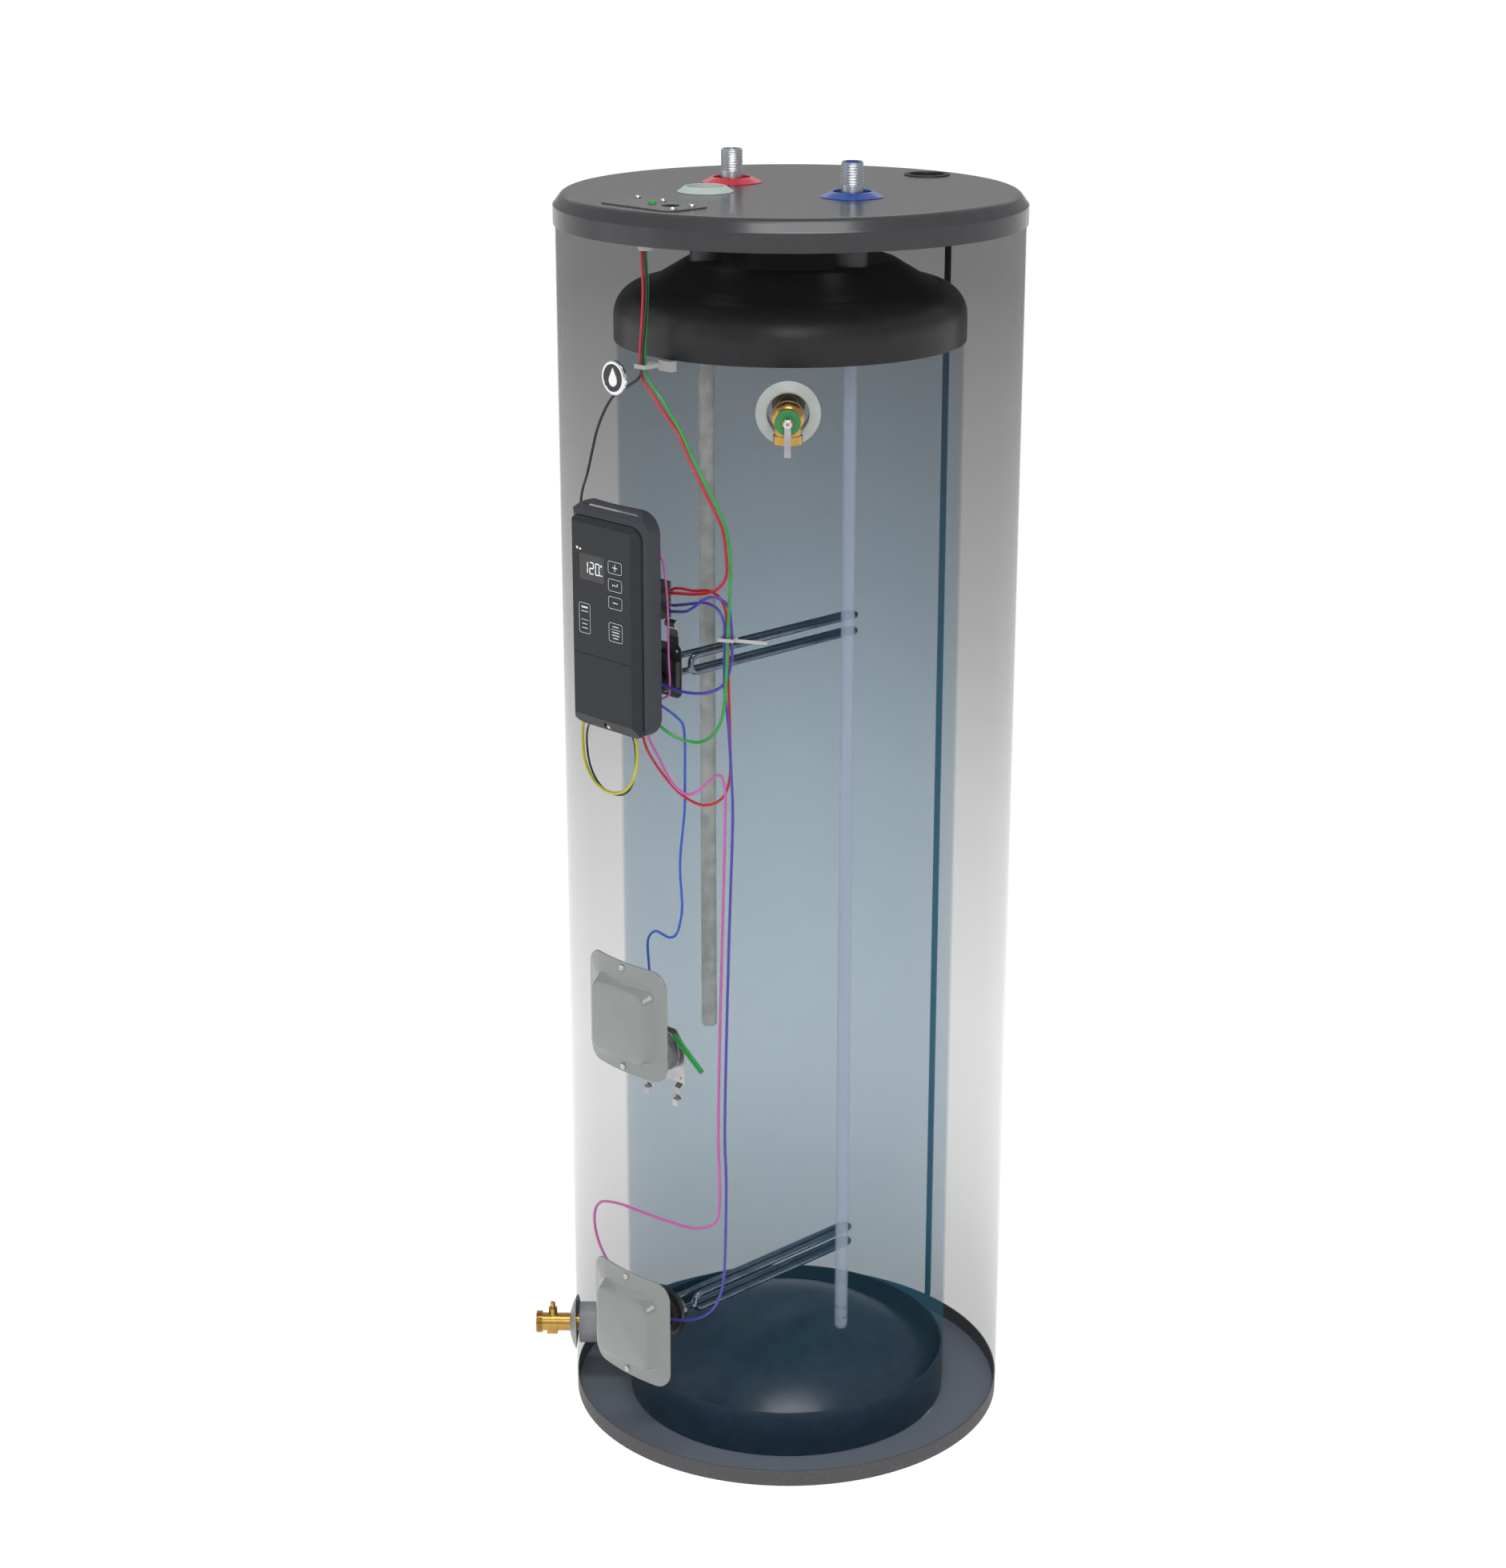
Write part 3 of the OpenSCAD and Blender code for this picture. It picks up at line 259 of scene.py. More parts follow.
@dataclass(frozen=True)
class Finish:
    """A solid finish with mottled colour, uneven gloss and fine relief."""

    name: str
    base: Colour
    rough: float = 0.45
    metal: float = 0.0
    coat: float = 0.0
    mottle: float = 0.12
    mottle_size: float = 0.02
    gloss_spread: float = 0.08
    relief: float = 0.00003
    relief_size: float = 0.0012
    grain: Grain = Grain.EVEN
    edge: float = 0.0
    emit: float = 0.0
    sheen: float = 0.5

    def make(self) -> bpy.types.Material:
        """Builds the material."""
        shader = Shader(self.name)
        cloud = shader.noise(self.mottle_size, 3.0)
        fine = shader.noise(self.relief_size, 2.0, self.grain.value)
        dark = tuple(c * (1.0 - self.mottle) for c in self.base)
        light = tuple(min(1.0, c * (1.0 + self.mottle)) for c in self.base)
        inputs: dict[str, Input] = {
            "Base Color": shader.mix(shader.span(cloud, 0.3, 0.7), dark, light),
            "Roughness": self.rough + (fine - 0.5) * self.gloss_spread,
            "Metallic": self.metal,
            "Specular IOR Level": self.sheen,
            "Normal": shader.bump(fine, self.relief, self.edge),
        }
        if self.coat > 0.0:
            inputs["Coat Weight"] = self.coat
        if self.emit > 0.0:
            inputs["Emission Color"] = self.base
            inputs["Emission Strength"] = self.emit
        return shader.finish(inputs)


@dataclass(frozen=True)
class Speckled(Finish):
    """A finish with small light specks scattered over it."""

    speck: Colour = (0.3, 0.33, 0.4)
    speck_size: float = 0.003
    speck_share: float = 0.3

    def make(self) -> bpy.types.Material:
        """Builds the material."""
        shader = Shader(self.name)
        cloud = shader.noise(self.mottle_size, 3.0)
        fine = shader.noise(self.speck_size, 4.0)
        dark = tuple(c * (1.0 - self.mottle) for c in self.base)
        light = tuple(c * (1.0 + self.mottle) for c in self.base)
        ground = shader.mix(shader.span(cloud, 0.3, 0.7), dark, light)
        specks = shader.span(fine, 0.56, 0.72) * self.speck_share
        return shader.finish({
            "Base Color": shader.mix(specks, ground, self.speck),
            "Roughness": self.rough + (fine - 0.5) * self.gloss_spread,
            "Metallic": self.metal,
            "Specular IOR Level": self.sheen,
            "Normal": shader.bump(fine, self.relief, self.edge),
        })


@dataclass(frozen=True)
class PanSteel(Speckled):
    """Steel of the bottom pan: its base colour on the wall, a paler blue-grey on the floor inside."""

    floor: Colour = (0.150, 0.175, 0.215)
    wall_radius: float = 0.2768

    def make(self) -> bpy.types.Material:
        """Builds the material."""
        shader = Shader(self.name)
        cloud = shader.noise(self.mottle_size, 3.0)
        fine = shader.noise(self.speck_size, 4.0)
        reach = shader.axis("X") * shader.axis("X") + shader.axis("Y") * shader.axis("Y")
        edge = self.wall_radius ** 2
        wall = shader.span(reach, edge, edge + 0.0002)
        ground = shader.mix(wall, self.floor, self.base)
        specks = shader.span(fine, 0.56, 0.72) * self.speck_share
        return shader.finish({
            "Base Color": shader.mix(specks, ground, self.speck),
            "Roughness": self.rough + (cloud - 0.5) * self.gloss_spread,
            "Specular IOR Level": self.sheen,
            "Normal": shader.bump(fine, self.relief, self.edge),
        })


@dataclass(frozen=True)
class PipeSteel(Finish):
    """Bright pipe, darkened with painted shade where it stands under the lid."""

    # Painted shade colour of the pipe under the lid.
    under_lid_shade: Colour = (0.10, 0.10, 0.105)
    low: float = 1.556
    high: float = 1.566

    def make(self) -> bpy.types.Material:
        """Builds the material."""
        shader = Shader(self.name)
        fine = shader.noise(self.relief_size, 2.0, self.grain.value)
        # above is 0 under the lid, where the painted shade colour and a rougher finish take over.
        above = shader.span(shader.axis("Z"), self.low, self.high)
        return shader.finish({
            "Base Color": shader.mix(above, self.under_lid_shade, self.base),
            "Roughness": self.rough + (fine - 0.5) * self.gloss_spread + (1.0 - above) * 0.2,
            "Metallic": self.metal,
            "Normal": shader.bump(fine, self.relief, self.edge),
        })


def facing(shader: Shader, radius: float, azimuth: float = 45.0) -> Wire:
    """Returns 1 on the side of a round shell at the azimuth, -1 on the far side."""
    # The default azimuth 45 is the side left nearly clear on the see-through jacket and tank; their
    # painted shade goes on the half opposite it.
    turn = math.radians(azimuth)
    return (shader.axis("X") * math.sin(turn) - shader.axis("Y") * math.cos(turn)) / radius


@dataclass(frozen=True)
class GhostJacket:
    """See-through jacket paint: nearly clear on the half facing azimuth 45; the other half carries a
    grey film of painted shade that thickens upwards, lighter at its edges with painted light and
    darker near the bottom with a painted reflection of the pan.
    """

    name: str
    # Grey of the film; on the far half it is the painted shade of the back wall's inside.
    film: Colour = (0.062, 0.062, 0.064)
    clear: float = 0.012
    radius: float = 0.281
    height: float = 1.56
    # Alpha of the far half by height: painted shade of the back wall's inside that thickens upwards;
    # the rise below about 0.2 of the height is a painted dark reflection of the pan.
    far_half_shade: tuple[tuple[float, float], ...] = (
        (0.03, 0.28), (0.10, 0.25), (0.15, 0.215), (0.22, 0.19), (0.30, 0.19), (0.40, 0.225),
        (0.50, 0.275), (0.64, 0.395), (0.84, 0.515), (0.93, 0.58))
    # Share of that painted shade taken off towards the side edges, by height: painted light along the
    # rims.
    rim_light: tuple[tuple[float, float], ...] = (
        (0.10, 0.23), (0.22, 0.53), (0.30, 0.59), (0.40, 0.46), (0.50, 0.37), (0.64, 0.24),
        (0.84, 0.06), (0.93, 0.0))

    def make(self) -> bpy.types.Material:
        """Builds the material."""
        shader = Shader(self.name)
        across = facing(shader, self.radius)
        level = shader.axis("Z") / self.height
        # back is 1 on the far half, which takes the painted shade; rim grows towards that half's side
        # edges.
        back = shader.span(across, 0.02, -0.02)
        rim = shader.span(across, -0.16, 0.0) * 0.55 + shader.span(across, -0.45, 0.0) * 0.45
        shade_kept = 1.0 - rim * shader.ramp(level, self.rim_light)
        return shader.finish({
            "Base Color": self.film,
            "Roughness": 0.3,
            # Alpha: nearly clear on the near half, painted shade with painted rim light on the far
            # half.
            "Alpha": self.clear + back * shade_kept * shader.ramp(level, self.far_half_shade),
            "Normal": shader.bump(shader.noise(0.004), 0.000005),
        })


@dataclass(frozen=True)
class GhostTank:
    """See-through steel of the tank shell: nearly clear on the half facing azimuth 45, and on the
    other half a blue film that stands for the back wall's painted shade, paling downwards.
    """

    name: str
    upper: Colour = (0.045, 0.150, 0.245)
    lower: Colour = (0.020, 0.290, 0.460)
    radius: float = 0.2105
    # near is the alpha of the near half; far adds the painted shade of the back wall on the other
    # half.
    near: float = 0.030
    far: float = 0.245

    def make(self) -> bpy.types.Material:
        """Builds the material."""
        shader = Shader(self.name)
        fall = shader.span(shader.axis("Z"), 1.4, 0.7)
        cloud = shader.noise(0.05, 3.0)
        # far is 1 on the half opposite azimuth 45, where the painted shade goes.
        far = shader.span(facing(shader, self.radius), 0.05, -0.10)
        return shader.finish({
            "Base Color": shader.mix(fall, self.upper, self.lower),
            "Roughness": 0.35 + (cloud - 0.5) * 0.1,
            "Alpha": self.near + far * self.far + (cloud - 0.5) * 0.012,
        })


@dataclass(frozen=True)
class Milky:
    """A translucent moulded plastic or film."""

    name: str
    base: Colour
    alpha: float
    rough: float = 0.3

    def make(self) -> bpy.types.Material:
        """Builds the material."""
        shader = Shader(self.name)
        fine = shader.noise(0.0025, 3.0)
        return shader.finish({
            "Base Color": self.base,
            "Roughness": self.rough,
            "Alpha": self.alpha + (fine - 0.5) * 0.25,
            "Normal": shader.bump(fine, 0.00002),
        })


FINISHES = {
    # jacket_paint carries painted shade on its far half, with painted rim light and a painted
    # reflection of the pan.
    "jacket_paint": GhostJacket("jacket_paint"),
    # tank_steel carries painted shade on its far half.
    "tank_steel": GhostTank("tank_steel"),
    "lid_paint": Speckled("lid_paint", (0.043, 0.044, 0.048), rough=0.22, edge=0.0008,
                          mottle=0.04, relief=0.000004, relief_size=0.0006, sheen=0.25,
                          speck=(0.07, 0.07, 0.075), speck_size=0.0009, speck_share=0.25),
    "black_rubber": Finish("black_rubber", (0.012, 0.012, 0.013), rough=0.55, edge=0.0005),
    "port_plastic": Finish("port_plastic", (0.42, 0.50, 0.47), rough=0.35, mottle=0.06, edge=0.0006),
    "red_plastic": Finish("red_plastic", (0.50, 0.018, 0.040), rough=0.28, coat=0.3, edge=0.0006),
    "blue_plastic": Finish("blue_plastic", (0.018, 0.060, 0.30), rough=0.28, coat=0.3, edge=0.0006),
    "galvanised": Speckled("galvanised", (0.20, 0.20, 0.21), rough=0.5, metal=0.6, edge=0.0005,
                           speck=(0.3, 0.3, 0.31), speck_size=0.004, speck_share=0.6),
    "cover_plate": Speckled("cover_plate", (0.085, 0.085, 0.088), rough=0.4, edge=0.0006,
                            speck=(0.42, 0.42, 0.41), speck_size=0.0022, speck_share=0.55),
    "zinc_steel": Finish("zinc_steel", (0.62, 0.62, 0.64), rough=0.28, metal=1.0, edge=0.0004),
    "pan_steel": PanSteel("pan_steel", (0.088, 0.087, 0.092), rough=0.55, edge=0.0008,
                          speck=(0.22, 0.23, 0.26), speck_size=0.0035, speck_share=0.25, sheen=0.3),
    "chrome": Finish("chrome", (0.78, 0.78, 0.79), rough=0.12, metal=1.0, mottle=0.03, edge=0.0006),
    "bezel_plastic": Finish("bezel_plastic", (0.36, 0.39, 0.38), rough=0.38, mottle=0.05, edge=0.0008),
    "grey_plastic": Finish("grey_plastic", (0.29, 0.30, 0.32), rough=0.4, mottle=0.06, edge=0.0008),
    "black_steel": Finish("black_steel", (0.016, 0.016, 0.018), rough=0.36, mottle=0.12,
                          relief=0.00004, relief_size=0.02, edge=0.001, sheen=0.3),
    "enamel_steel": Speckled("enamel_steel", (0.012, 0.020, 0.038), rough=0.30, mottle=0.2,
                             relief=0.00001, speck=(0.03, 0.045, 0.075), speck_size=0.006,
                             speck_share=0.35, sheen=0.4),
    # pipe_steel darkens under the lid with painted shade.
    "pipe_steel": PipeSteel("pipe_steel", (0.62, 0.66, 0.70), rough=0.36, metal=1.0, edge=0.0004,
                            grain=Grain.LEVEL),
    "dip_plastic": Milky("dip_plastic", (0.48, 0.53, 0.66), 0.28),
    "anode_metal": Finish("anode_metal", (0.34, 0.35, 0.33), rough=0.6, metal=0.2, mottle=0.15,
                          relief=0.0001, relief_size=0.004),
    "element_sheath": Finish("element_sheath", (0.20, 0.21, 0.25), rough=0.16, metal=1.0,
                             mottle=0.2, edge=0.0004),
    "black_plastic": Finish("black_plastic", (0.014, 0.014, 0.015), rough=0.35, edge=0.0006),
    "spring_steel": Finish("spring_steel", (0.45, 0.44, 0.44), rough=0.25, metal=1.0, edge=0.0003,
                           grain=Grain.UPRIGHT),
    "switch_plastic": Finish("switch_plastic", (0.016, 0.015, 0.015), rough=0.4, edge=0.0006),
    "button_red": Finish("button_red", (0.55, 0.02, 0.02), rough=0.3, edge=0.0004),
    "unit_plastic": Finish("unit_plastic", (0.036, 0.039, 0.048), rough=0.46, mottle=0.04, edge=0.0012,
                           relief=0.000008, relief_size=0.0008, sheen=0.35),
    "cover_plastic": Finish("cover_plastic", (0.019, 0.021, 0.024), rough=0.5, mottle=0.03,
                            edge=0.0012, relief=0.000005, relief_size=0.0008, sheen=0.3),
    "screen": Finish("screen", (0.006, 0.007, 0.010), rough=0.12, coat=0.5, mottle=0.05, relief=0.0),
    "circuit_board": Finish("circuit_board", (0.012, 0.09, 0.035), rough=0.4, mottle=0.2),
    "key_plastic": Finish("key_plastic", (0.018, 0.020, 0.023), rough=0.48, mottle=0.03, edge=0.0004,
                          relief=0.000005, sheen=0.3),
    "access_plastic": Finish("access_plastic", (0.235, 0.255, 0.247), rough=0.2, mottle=0.02,
                             relief=0.000004, coat=0.5),
    "wire_black": Finish("wire_black", (0.006, 0.006, 0.006), rough=0.35, mottle=0.1),
    "wire_red": Finish("wire_red", (0.50, 0.010, 0.018), rough=0.32, mottle=0.06),
    "wire_green": Finish("wire_green", (0.016, 0.30, 0.045), rough=0.32, mottle=0.06),
    "wire_violet": Finish("wire_violet", (0.060, 0.045, 0.36), rough=0.32, mottle=0.06),
    "wire_blue": Finish("wire_blue", (0.016, 0.085, 0.48), rough=0.32, mottle=0.06),
    "wire_yellow": Finish("wire_yellow", (0.52, 0.50, 0.03), rough=0.32, mottle=0.06),
    "wire_pink": Finish("wire_pink", (0.52, 0.11, 0.37), rough=0.32, mottle=0.06),
    "nylon": Finish("nylon", (0.46, 0.45, 0.45), rough=0.4, mottle=0.04, edge=0.0004),
    "brass": Finish("brass", (0.50, 0.30, 0.085), rough=0.26, metal=1.0, mottle=0.12, edge=0.0006),
    "tag_green": Finish("tag_green", (0.025, 0.21, 0.06), rough=0.5, mottle=0.08, edge=0.0003),
    "lever_steel": Finish("lever_steel", (0.42, 0.40, 0.43), rough=0.3, metal=1.0, edge=0.0003,
                          grain=Grain.UPRIGHT),
    "white_print": Finish("white_print", (0.72, 0.74, 0.76), rough=0.5, mottle=0.02),
    "lit_segment": Finish("lit_segment", (0.90, 0.95, 1.0), rough=0.5, mottle=0.0, emit=0.7),
}


class Paints:
    """Makes each finish once and dresses objects with it."""

    def __init__(self) -> None:
        """Starts with no material made."""
        self.made: dict[str, bpy.types.Material] = {}

    def get(self, slot: str) -> bpy.types.Material:
        """Returns the material of a slot."""
        if slot not in self.made:
            self.made[slot] = FINISHES[slot].make()
        return self.made[slot]

    def dress(self, piece: bpy.types.Object, slot: str) -> None:
        """Puts one material on the whole of a piece."""
        piece.data.materials.clear()
        piece.data.materials.append(self.get(slot))


# ---------------------------------------------------------------- mesh code


@dataclass
class Mesh:
    """Vertices and faces that grow as shapes are added."""

    points: list[Vector]
    faces: list[tuple[int, ...]]

    @classmethod
    def empty(cls) -> "Mesh":
        """Returns a mesh with nothing in it."""
        return cls([], [])

    def rings(self, rings: Sequence[Sequence[Vector]], closed: bool = False) -> None:
        """Joins rings of equal length into a skin.

        Args:
            rings: The rings, each a closed loop of points.
            closed: Whether the last ring joins the first; otherwise both ends are capped.
        """
        start = len(self.points)
        count = len(rings[0])
        for ring in rings:
            self.points.extend(ring)
        total = len(rings)
        for i in range(total if closed else total - 1):
            a = start + i * count
            b = start + ((i + 1) % total) * count
            for k in range(count):
                n = (k + 1) % count
                self.faces.append((a + k, a + n, b + n, b + k))
        if not closed:
            last = start + (total - 1) * count
            self.faces.append(tuple(start + k for k in reversed(range(count))))
            self.faces.append(tuple(last + k for k in range(count)))

    def turned(self, profile: Sequence[tuple[float, float]], where: Matrix, steps: int = 64) -> None:
        """Revolves a closed profile of (radius, height) pairs round the local Z axis."""
        rings = []
        for k in range(steps):
            angle = 2.0 * math.pi * k / steps
            rings.append([where @ Vector((r * math.cos(angle), r * math.sin(angle), z))
                          for r, z in profile])
        self.rings(rings, closed=True)

    def slab(self, outline: Sequence[tuple[float, float]], low: float, high: float,
             where: Matrix) -> None:
        """Extrudes an outline between two heights."""
        self.rings([[where @ Vector((x, y, z)) for x, y in outline] for z in (low, high)])

    def box(self, centre: tuple[float, float], size: tuple[float, float], low: float, high: float,
            where: Matrix) -> None:
        """Adds an upright block."""
        (x, y), (w, h) = centre, (size[0] / 2.0, size[1] / 2.0)
        self.slab([(x - w, y - h), (x + w, y - h), (x + w, y + h), (x - w, y + h)], low, high, where)

    def outline(self, w: float, h: float, r: float, line: float, low: float, high: float,
                where: Matrix) -> None:
        """Adds a raised line round a rectangle with round corners."""
        inner = rounded(w - 2.0 * line, h - 2.0 * line, r - line)
        outer = rounded(w, h, r)
        loops = ((outer, low), (outer, high), (inner, high), (inner, low))
        self.rings([[where @ Vector((x, y, z)) for x, y in loop] for loop, z in loops], closed=True)

    def piece(self, name: str, slot: str, paints: Paints, body: str = ROOT,
              smooth: bool = True) -> bpy.types.Object:
        """Makes the Blender object, dresses it and lets it ride on a body.

        Args:
            name: The piece's name.
            slot: The material slot it takes its finish from.
            paints: The materials.
            body: The CAD body it moves with.
            smooth: Whether faces shade smoothly across edges under 40 degrees.

        Returns:
            The new object.
        """
        data = bpy.data.meshes.new(name)
        data.from_pydata([tuple(p) for p in self.points], [], self.faces)
        data.validate()
        data.update()
        made = bpy.data.objects.new(name, data)
        bpy.context.scene.collection.objects.link(made)
        paints.dress(made, slot)
        if smooth:
            data.shade_smooth()
            data.set_sharp_from_angle(angle=math.radians(40.0))
        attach(made, body)
        log.info("%s: %d faces", name, len(self.faces))
        return made


RECORD_SLOTS: set[str] = set()


def outward(azimuth: float, z: float) -> Matrix:
    """Returns the frame on the side of the heater: X to the right, Y up, Z away from its axis."""
    a = math.radians(azimuth)
    return Matrix(((math.cos(a), 0.0, math.sin(a), 0.0),
                   (math.sin(a), 0.0, -math.cos(a), 0.0),
                   (0.0, 1.0, 0.0, z),
                   (0.0, 0.0, 0.0, 1.0)))


def rounded(w: float, h: float, r: float, steps: int = 8) -> list[tuple[float, float]]:
    """Returns the outline of a centred rectangle with round corners."""
    r = max(r, 1e-5)
    points = []
    for corner, (sx, sy) in enumerate(((1, 1), (-1, 1), (-1, -1), (1, -1))):
        for k in range(steps + 1):
            a = math.pi / 2.0 * (corner + k / steps)
            points.append((sx * (w / 2.0 - r) + r * math.cos(a), sy * (h / 2.0 - r) + r * math.sin(a)))
    return points


def pillow(w: float, h: float, r: float, rise: float, arc: int = 8,
           along: int = 8) -> list[tuple[float, float]]:
    """Returns a rounded rectangle with points along its straights too.

    Args:
        w: Width.
        h: Height.
        r: Corner radius.
        rise: How far its centre stands above the origin.
        arc: Steps on a corner.
        along: Steps on a straight.

    Returns:
        The outline's points.
    """
    corners = rounded(w, h, r, arc)
    points = []
    for i, here in enumerate(corners):
        points.append(here)
        if i % (arc + 1) == arc:
            there = corners[(i + 1) % len(corners)]
            points += [(here[0] + (there[0] - here[0]) * k / along,
                        here[1] + (there[1] - here[1]) * k / along) for k in range(1, along)]
    return [(x, y + rise) for x, y in points]


def step(value: float, low: float, high: float) -> float:
    """Returns a smooth rise from 0 at low to 1 at high."""
    t = min(1.0, max(0.0, (value - low) / (high - low)))
    return t * t * (3.0 - 2.0 * t)


# ---------------------------------------------------------------- nipples


@dataclass
class Nipples:
    """The two steel nipples with their pipe thread."""

    paints: Paints
    half_spacing: float = 101.6 * MM
    outer: float = 13.35 * MM
    bore: float = 10.45 * MM
    pitch: float = 1.814 * MM
    thread: float = 25.0 * MM
    depth: float = 0.85 * MM
    relief: float = 0.25 * MM
    chamfer: float = 1.0 * MM
    steps: int = 48

    def radius(self, angle: float, below: float) -> float:
        """Returns the outside radius.

        Args:
            angle: Turn round the pipe, in radians.
            below: Distance below the top.

        Returns:
            The radius, on a crest, in a root or on the plain pipe.
        """
        phase = (below / self.pitch + angle / (2.0 * math.pi)) % 1.0
        root = abs(2.0 * phase - 1.0)
        threaded = step(self.thread + self.pitch - below, 0.0, self.pitch)
        plain = self.outer - self.relief * (1.0 - threaded)
        bevel = self.chamfer * max(0.0, 1.0 - below / self.chamfer)
        return plain - threaded * self.depth * root - bevel

    def build(self) -> None:
        """Makes both nipples."""
        for name, side in (("hot_nipple", -1.0), ("cold_nipple", 1.0)):
            low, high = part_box(name)[0][2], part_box(name)[1][2]
            fine = self.pitch / 6.0
            count = round((self.thread + 2.0 * self.pitch) / fine)
            heights = [low] + [high - fine * k for k in range(count, -1, -1)]
            centre = Vector((side * self.half_spacing, 0.0, 0.0))
            turns = [2.0 * math.pi * k / self.steps for k in range(self.steps)]
            wall = [[centre + Vector((self.radius(a, high - z) * math.cos(a),
                                      self.radius(a, high - z) * math.sin(a), z)) for a in turns]
                    for z in heights]
            inside = [[centre + Vector((self.bore * math.cos(a), self.bore * math.sin(a), z))
                       for a in turns] for z in (high, low)]
            mesh = Mesh.empty()
            mesh.rings(wall + inside, closed=True)
            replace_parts(mesh.piece(f"{name}_threaded", "pipe_steel", self.paints), name)


# ---------------------------------------------------------------- access covers


@dataclass
class AccessCovers:
    """Two pressed covers: a flange that follows the jacket and a raised, bevelled middle."""

    paints: Paints
    heights: tuple[float, float] = (0.603, 0.186)
    back: float = 281.35 * MM
    flange: float = 283.5 * MM
    face: float = 293.5 * MM
    wall: float = 2.0 * MM
    # width, height, corner, rise of the centre in millimetres, and share of the raise
    press: tuple[tuple[float, float, float, float, float], ...] = (
        (112.0, 103.0, 18.0, -2.2, 0.0), (108.5, 99.5, 17.0, -2.6, 0.06),
        (105.5, 97.0, 16.0, -3.1, 0.20), (98.5, 90.5, 13.0, -4.3, 0.70),
        (95.5, 88.0, 12.0, -5.0, 0.90), (93.0, 86.0, 11.0, -5.5, 0.975),
        (90.0, 83.5, 10.0, -6.0, 1.0))

    def ring(self, shape: tuple[float, float, float, float], share: float, round_r: float,
             drop: float, where: Matrix) -> list[Vector]:
        """Returns one loop of the pressing.

        Args:
            shape: Width, height, corner radius and rise of the loop, in metres.
            share: 0 where the loop lies on the round flange, 1 where it is flat.
            round_r: Radius of the flange's surface.
            drop: How far the flat face is set back.
            where: The cover's frame.

        Returns:
            The loop's points.
        """
        flat = self.face - drop
        return [where @ Vector((x, y, (1.0 - share) * math.sqrt(round_r ** 2 - x * x) + share * flat))
                for x, y in pillow(*shape)]

    def build(self) -> None:
        """Makes both covers as one piece."""
        mesh = Mesh.empty()
        edge = (139.0 * MM, 145.0 * MM, 22.0 * MM, 0.0)
        soft = (137.6 * MM, 143.6 * MM, 21.3 * MM, 0.0)
        for z in self.heights:
            where = outward(0.0, z)
            front, behind = [], []
            for w, h, r, rise, share in self.press:
                shape = (w * MM, h * MM, r * MM, rise * MM)
                inset = (shape[0] - 2.0 * self.wall, shape[1] - 2.0 * self.wall,
                         shape[2] - self.wall, shape[3])
                front.append(self.ring(shape, share, self.flange, 0.0, where))
                behind.append(self.ring(inset, share, self.back, self.wall, where))
            rim = [self.ring(edge, 0.0, self.back, 0.0, where),
                   self.ring(edge, 0.0, self.flange - 0.7 * MM, 0.0, where),
                   self.ring(soft, 0.0, self.flange, 0.0, where)]
            mesh.rings(behind[::-1] + rim + front)
        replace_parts(mesh.piece("pressed_access_covers", "access_plastic", self.paints),
                    "access_covers")


# ---------------------------------------------------------------- control unit marks


class Segment(Enum):
    """A bar of a seven-segment figure: centre and size as shares of its width and height."""

    TOP = (0.0, 1.0, True)
    MIDDLE = (0.0, 0.0, True)
    BOTTOM = (0.0, -1.0, True)
    UPPER_LEFT = (-1.0, 0.5, False)
    UPPER_RIGHT = (1.0, 0.5, False)
    LOWER_LEFT = (-1.0, -0.5, False)
    LOWER_RIGHT = (1.0, -0.5, False)


FIGURES = {
    "1": (Segment.UPPER_RIGHT, Segment.LOWER_RIGHT),
    "2": (Segment.TOP, Segment.UPPER_RIGHT, Segment.MIDDLE, Segment.LOWER_LEFT, Segment.BOTTOM),
    "0": (Segment.TOP, Segment.UPPER_LEFT, Segment.UPPER_RIGHT, Segment.LOWER_LEFT,
          Segment.LOWER_RIGHT, Segment.BOTTOM),
}


